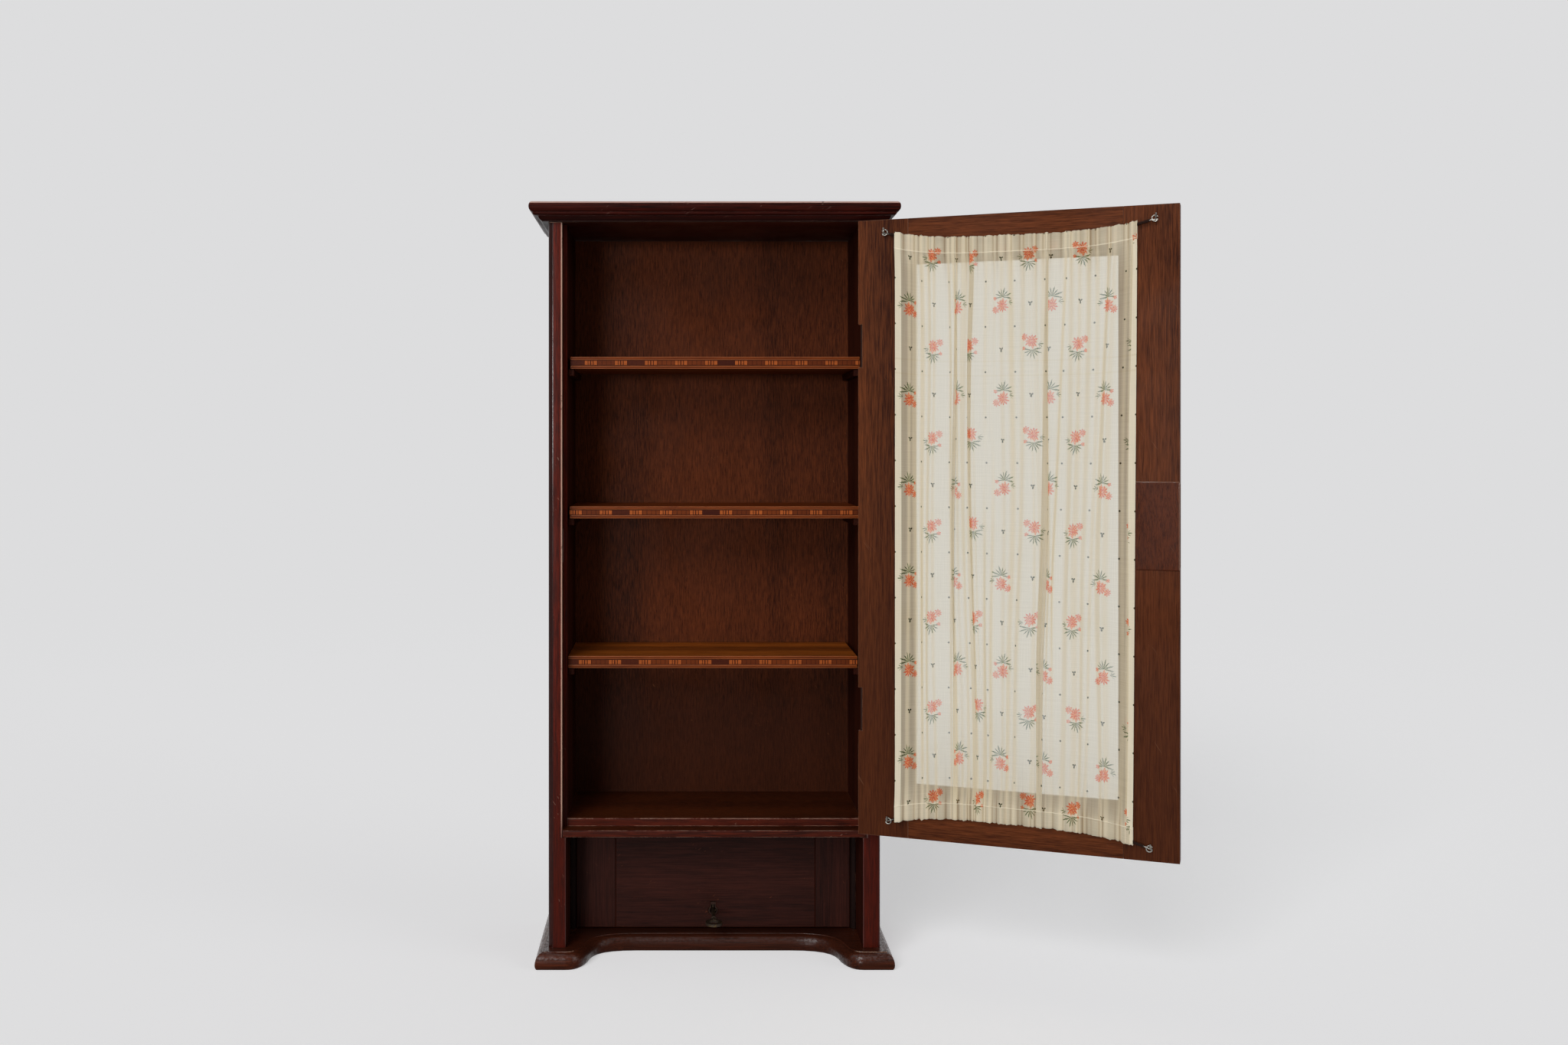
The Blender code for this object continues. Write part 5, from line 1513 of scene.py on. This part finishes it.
def muslin(cloth):
    """Sheer printed muslin: denser where it is doubled, and coloured by its print."""
    material, graph, skin = blank("printed_muslin")
    flat = graph.node("UVMap", uv_map=FLAT_MAP).outputs[0]
    doubled, slant, seam, crease = (graph.field(name) for name in ("doubled", "slant", "seam", "crease"))
    sprigs = graph.use(print_group(), Vector=flat, Column=cloth.column, Drop=cloth.drop)
    threads = graph.use(weave_group(), Vector=flat, Threads=1.0 / THREAD, Slubs=1.0 / SLUB)
    steep = graph.math("POWER", graph.most(slant, 0.0), STEEP_POWER)
    single = graph.less(FOLDS_SHOW, graph.times(doubled, FOLDS_SHOW))
    # Folds: darker beige where the cloth turns steeply, partly for the cloth seen through at a slant and partly
    # painted shade
    base = graph.blend(graph.times(steep, single), cloth.cloth, cloth.fold)
    stain = graph.step(graph.noise(flat, STAIN_SCALE, detail=3.0), 0.45, 0.75, 0.0, STAINS_SHOW)
    base = graph.blend(stain, base, cloth.fold)
    base = graph.blend(graph.times(doubled, DOUBLED_SHOWS), base, cloth.seam)
    # Painted shade along the pressed lines
    for spot in PRESSED_SHADE:
        off_line = graph.size(graph.less(graph.split(flat)[1], spot))
        base = graph.blend(graph.step(off_line, PRESSED_SHADE_W, 0.0, 0.0, PRESSED_SHADE_SHOWS), base, cloth.fold)
    red = graph.blend(sprigs["Pale"], cloth.bloom, cloth.bloom_pale)
    base = graph.blend(graph.times(sprigs["Leaf"], LEAF_INK), base, cloth.leaf)
    base = graph.blend(graph.times(sprigs["Bloom"], BLOOM_INK), base, red)
    base = graph.blend(sprigs["Dots"], base, cloth.dot)
    # Painted shade in the creases of the gathers
    base = graph.blend(graph.times(crease, CREASE_SHADE_SHOWS), base, cloth.crease)
    base = graph.blend(graph.times(seam, SEAM_SHOWS), base, cloth.seam)
    graph.feed(skin.inputs["Base Color"], base)
    red_ink = graph.times(sprigs["Bloom"], graph.line(sprigs["Pale"], PALE_LACKS, 1.0))
    printed = graph.most(graph.most(sprigs["Leaf"], red_ink), sprigs["Dots"])
    cover = graph.line(graph.less(threads["Closed"], 0.5), WEAVE_COVERS, cloth.cover)
    for field, covers in ((seam, SEAM_COVERS), (doubled, DOUBLED_COVERS), (printed, INK_COVERS)):
        cover = graph.line(field, covers, cover)
    clear = graph.less(1.0, graph.math("MINIMUM", graph.most(cover, LEAST_COVER), MOST_COVER))
    layers = graph.line(steep, MOST_SLANT - 1.0, 1.0)
    graph.feed(skin.inputs["Alpha"], graph.less(1.0, graph.math("POWER", clear, layers)))
    graph.feed(skin.inputs["Roughness"], graph.line(threads["Weft"], WEFT_ROUGHENS, CLOTH_ROUGH))
    skin.inputs["Specular IOR Level"].default_value = CLOTH_GLOSS
    skin.inputs["Sheen Weight"].default_value = CLOTH_NAP
    bump(graph, skin, threads["Closed"], *THREAD_BUMP)
    return material


# Stage

# The camera stands square to the front, and its frame is shifted to hold the object
CAMERA_PLACE = (-0.043, -2.043, 0.6731)
CAMERA_LENS = 34.28
CAMERA_SHIFT = (0.0654, -0.0466)
FLOOR_HALF = 40.0
FADE_NEAR = 1.6
FADE_FAR = 5.0
# The way each lamp shines, and its spread in degrees
LAMPS = {
    "key": (Vector((0.36, 0.80, -0.50)).normalized(), 30.0),
    "fill": (Vector((-0.86, 0.46, -0.22)).normalized(), 40.0),
    "level": (Vector((0.30, 0.95, 0.0)).normalized(), 12.0),
}


def seen_plainly(graph):
    """1 for rays that show the background: from the camera, in reflections and through glass."""
    rays = graph.node("LightPath").outputs
    return graph.most(graph.most(rays["Is Camera Ray"], rays["Is Glossy Ray"]), rays["Is Transmission Ray"])


def floor_surface(stage):
    """Pale floor that keeps the object's shadow and fades into the backdrop further off."""
    material = bpy.data.materials.new("pale_floor")
    material.use_nodes = True
    tree = material.node_tree
    tree.nodes.clear()
    graph = Graph(tree)
    seen = seen_plainly(graph)
    plain = graph.times(graph.step(graph.reach(graph.place()), FADE_NEAR, FADE_FAR), seen)
    lit_from_above = -sum(getattr(stage, name) * towards.z for name, (towards, _) in LAMPS.items()) / math.pi
    short = max(0.0, 1.0 - stage.ambient - lit_from_above)
    mat = graph.node("BsdfDiffuse", {"Color": stage.pale})
    lift = graph.node("Emission", {"Color": stage.pale, "Strength": graph.times(seen, short)})
    lit = graph.node("AddShader", {0: mat.outputs[0], 1: lift.outputs[0]})
    glow = graph.node("Emission", {"Color": stage.pale, "Strength": 1.0})
    near = graph.node("MixShader", {0: plain, 1: lit.outputs[0], 2: glow.outputs[0]})
    below = graph.node("NewGeometry").outputs["Backfacing"]
    clear = graph.node("BsdfTransparent")
    whole = graph.node("MixShader", {0: below, 1: near.outputs[0], 2: clear.outputs[0]})
    graph.feed(graph.node("OutputMaterial").inputs["Surface"], whole.outputs[0])
    return material


def backdrop(stage):
    """A pale world to look at, and a dimmer one to light the object."""
    world = bpy.data.worlds.new("pale_backdrop")
    bpy.context.scene.world = world
    world.use_nodes = True
    tree = world.node_tree
    tree.nodes.clear()
    graph = Graph(tree)
    light = graph.node("Background", {"Color": (1.0, 1.0, 1.0), "Strength": stage.ambient})
    look = graph.node("Background", {"Color": stage.pale, "Strength": 1.0})
    both = graph.node("MixShader", {0: seen_plainly(graph), 1: light.outputs[0], 2: look.outputs[0]})
    graph.feed(graph.node("OutputWorld").inputs["Surface"], both.outputs[0])


def lamp(name, towards, energy, spread_deg):
    """A broad soft lamp that shines along a direction."""
    light = bpy.data.lights.new(name, "SUN")
    light.energy = energy
    light.angle = math.radians(spread_deg)
    link(name, light).rotation_euler = towards.to_track_quat("-Z", "Y").to_euler()


class CABINET_OT_stage(bpy.types.Operator):
    """Pale floor, backdrop, three lamps and the camera"""

    bl_idname = "cabinet.stage"
    bl_label = "Stage"

    def execute(self, context):
        stage = settings().stage
        corners = [(x * FLOOR_HALF, y * FLOOR_HALF, 0.0) for x, y in ((-1, -1), (1, -1), (1, 1), (-1, 1))]
        mesh = bpy.data.meshes.new("floor")
        mesh.from_pydata(corners, [], [(0, 1, 2, 3)])
        mesh.materials.append(floor_surface(stage))
        link("floor", mesh)
        backdrop(stage)
        for name, (towards, spread_deg) in LAMPS.items():
            lamp(name + "_lamp", towards, getattr(stage, name), spread_deg)
        lens = bpy.data.cameras.new("camera")
        lens.lens = CAMERA_LENS
        lens.shift_x, lens.shift_y = CAMERA_SHIFT
        camera = link("camera", lens)
        camera.location = CAMERA_PLACE
        camera.rotation_euler = (math.pi / 2, 0.0, 0.0)
        context.scene.camera = camera
        context.scene.view_settings.view_transform = "Standard"
        return {"FINISHED"}


OPERATORS = (
    CABINET_OT_stage, CABINET_OT_case, CABINET_OT_mouldings, CABINET_OT_shelves, CABINET_OT_door,
    CABINET_OT_flap, CABINET_OT_ironmongery, CABINET_OT_wires, CABINET_OT_curtain,
)


class CABINET_PT_sidebar(bpy.types.Panel):
    """Lists the cabinet's operators and settings"""

    bl_idname = "CABINET_PT_sidebar"
    bl_label = "Cabinet finish"
    bl_space_type = "VIEW_3D"
    bl_region_type = "UI"
    bl_category = "Cabinet"

    def draw(self, context):
        column = self.layout.column(align=True)
        for operator in OPERATORS:
            column.operator(operator.bl_idname)
        for name in ("woods", "metals", "curtain", "stage"):
            group = getattr(context.scene.cabinet, name)
            box = self.layout.box()
            box.label(text=name.capitalize())
            for label in group.__annotations__:
                box.prop(group, label)


CLASSES = (
    CabinetWoods, CabinetMetals, CabinetCurtain, CabinetStage, CabinetSettings,
    *OPERATORS, CABINET_PT_sidebar,
)


def register():
    """Adds the classes and the scene's settings."""
    for made in CLASSES:
        bpy.utils.register_class(made)
    bpy.types.Scene.cabinet = PointerProperty(type=CabinetSettings)


def unregister():
    """Takes away the scene's settings and the classes."""
    del bpy.types.Scene.cabinet
    for made in reversed(CLASSES):
        bpy.utils.unregister_class(made)


def main():
    """Builds the stage and every piece."""
    register()
    for operator in OPERATORS:
        group, name = operator.bl_idname.split(".")
        getattr(getattr(bpy.ops, group), name)()


if __name__ == "__main__":
    main()
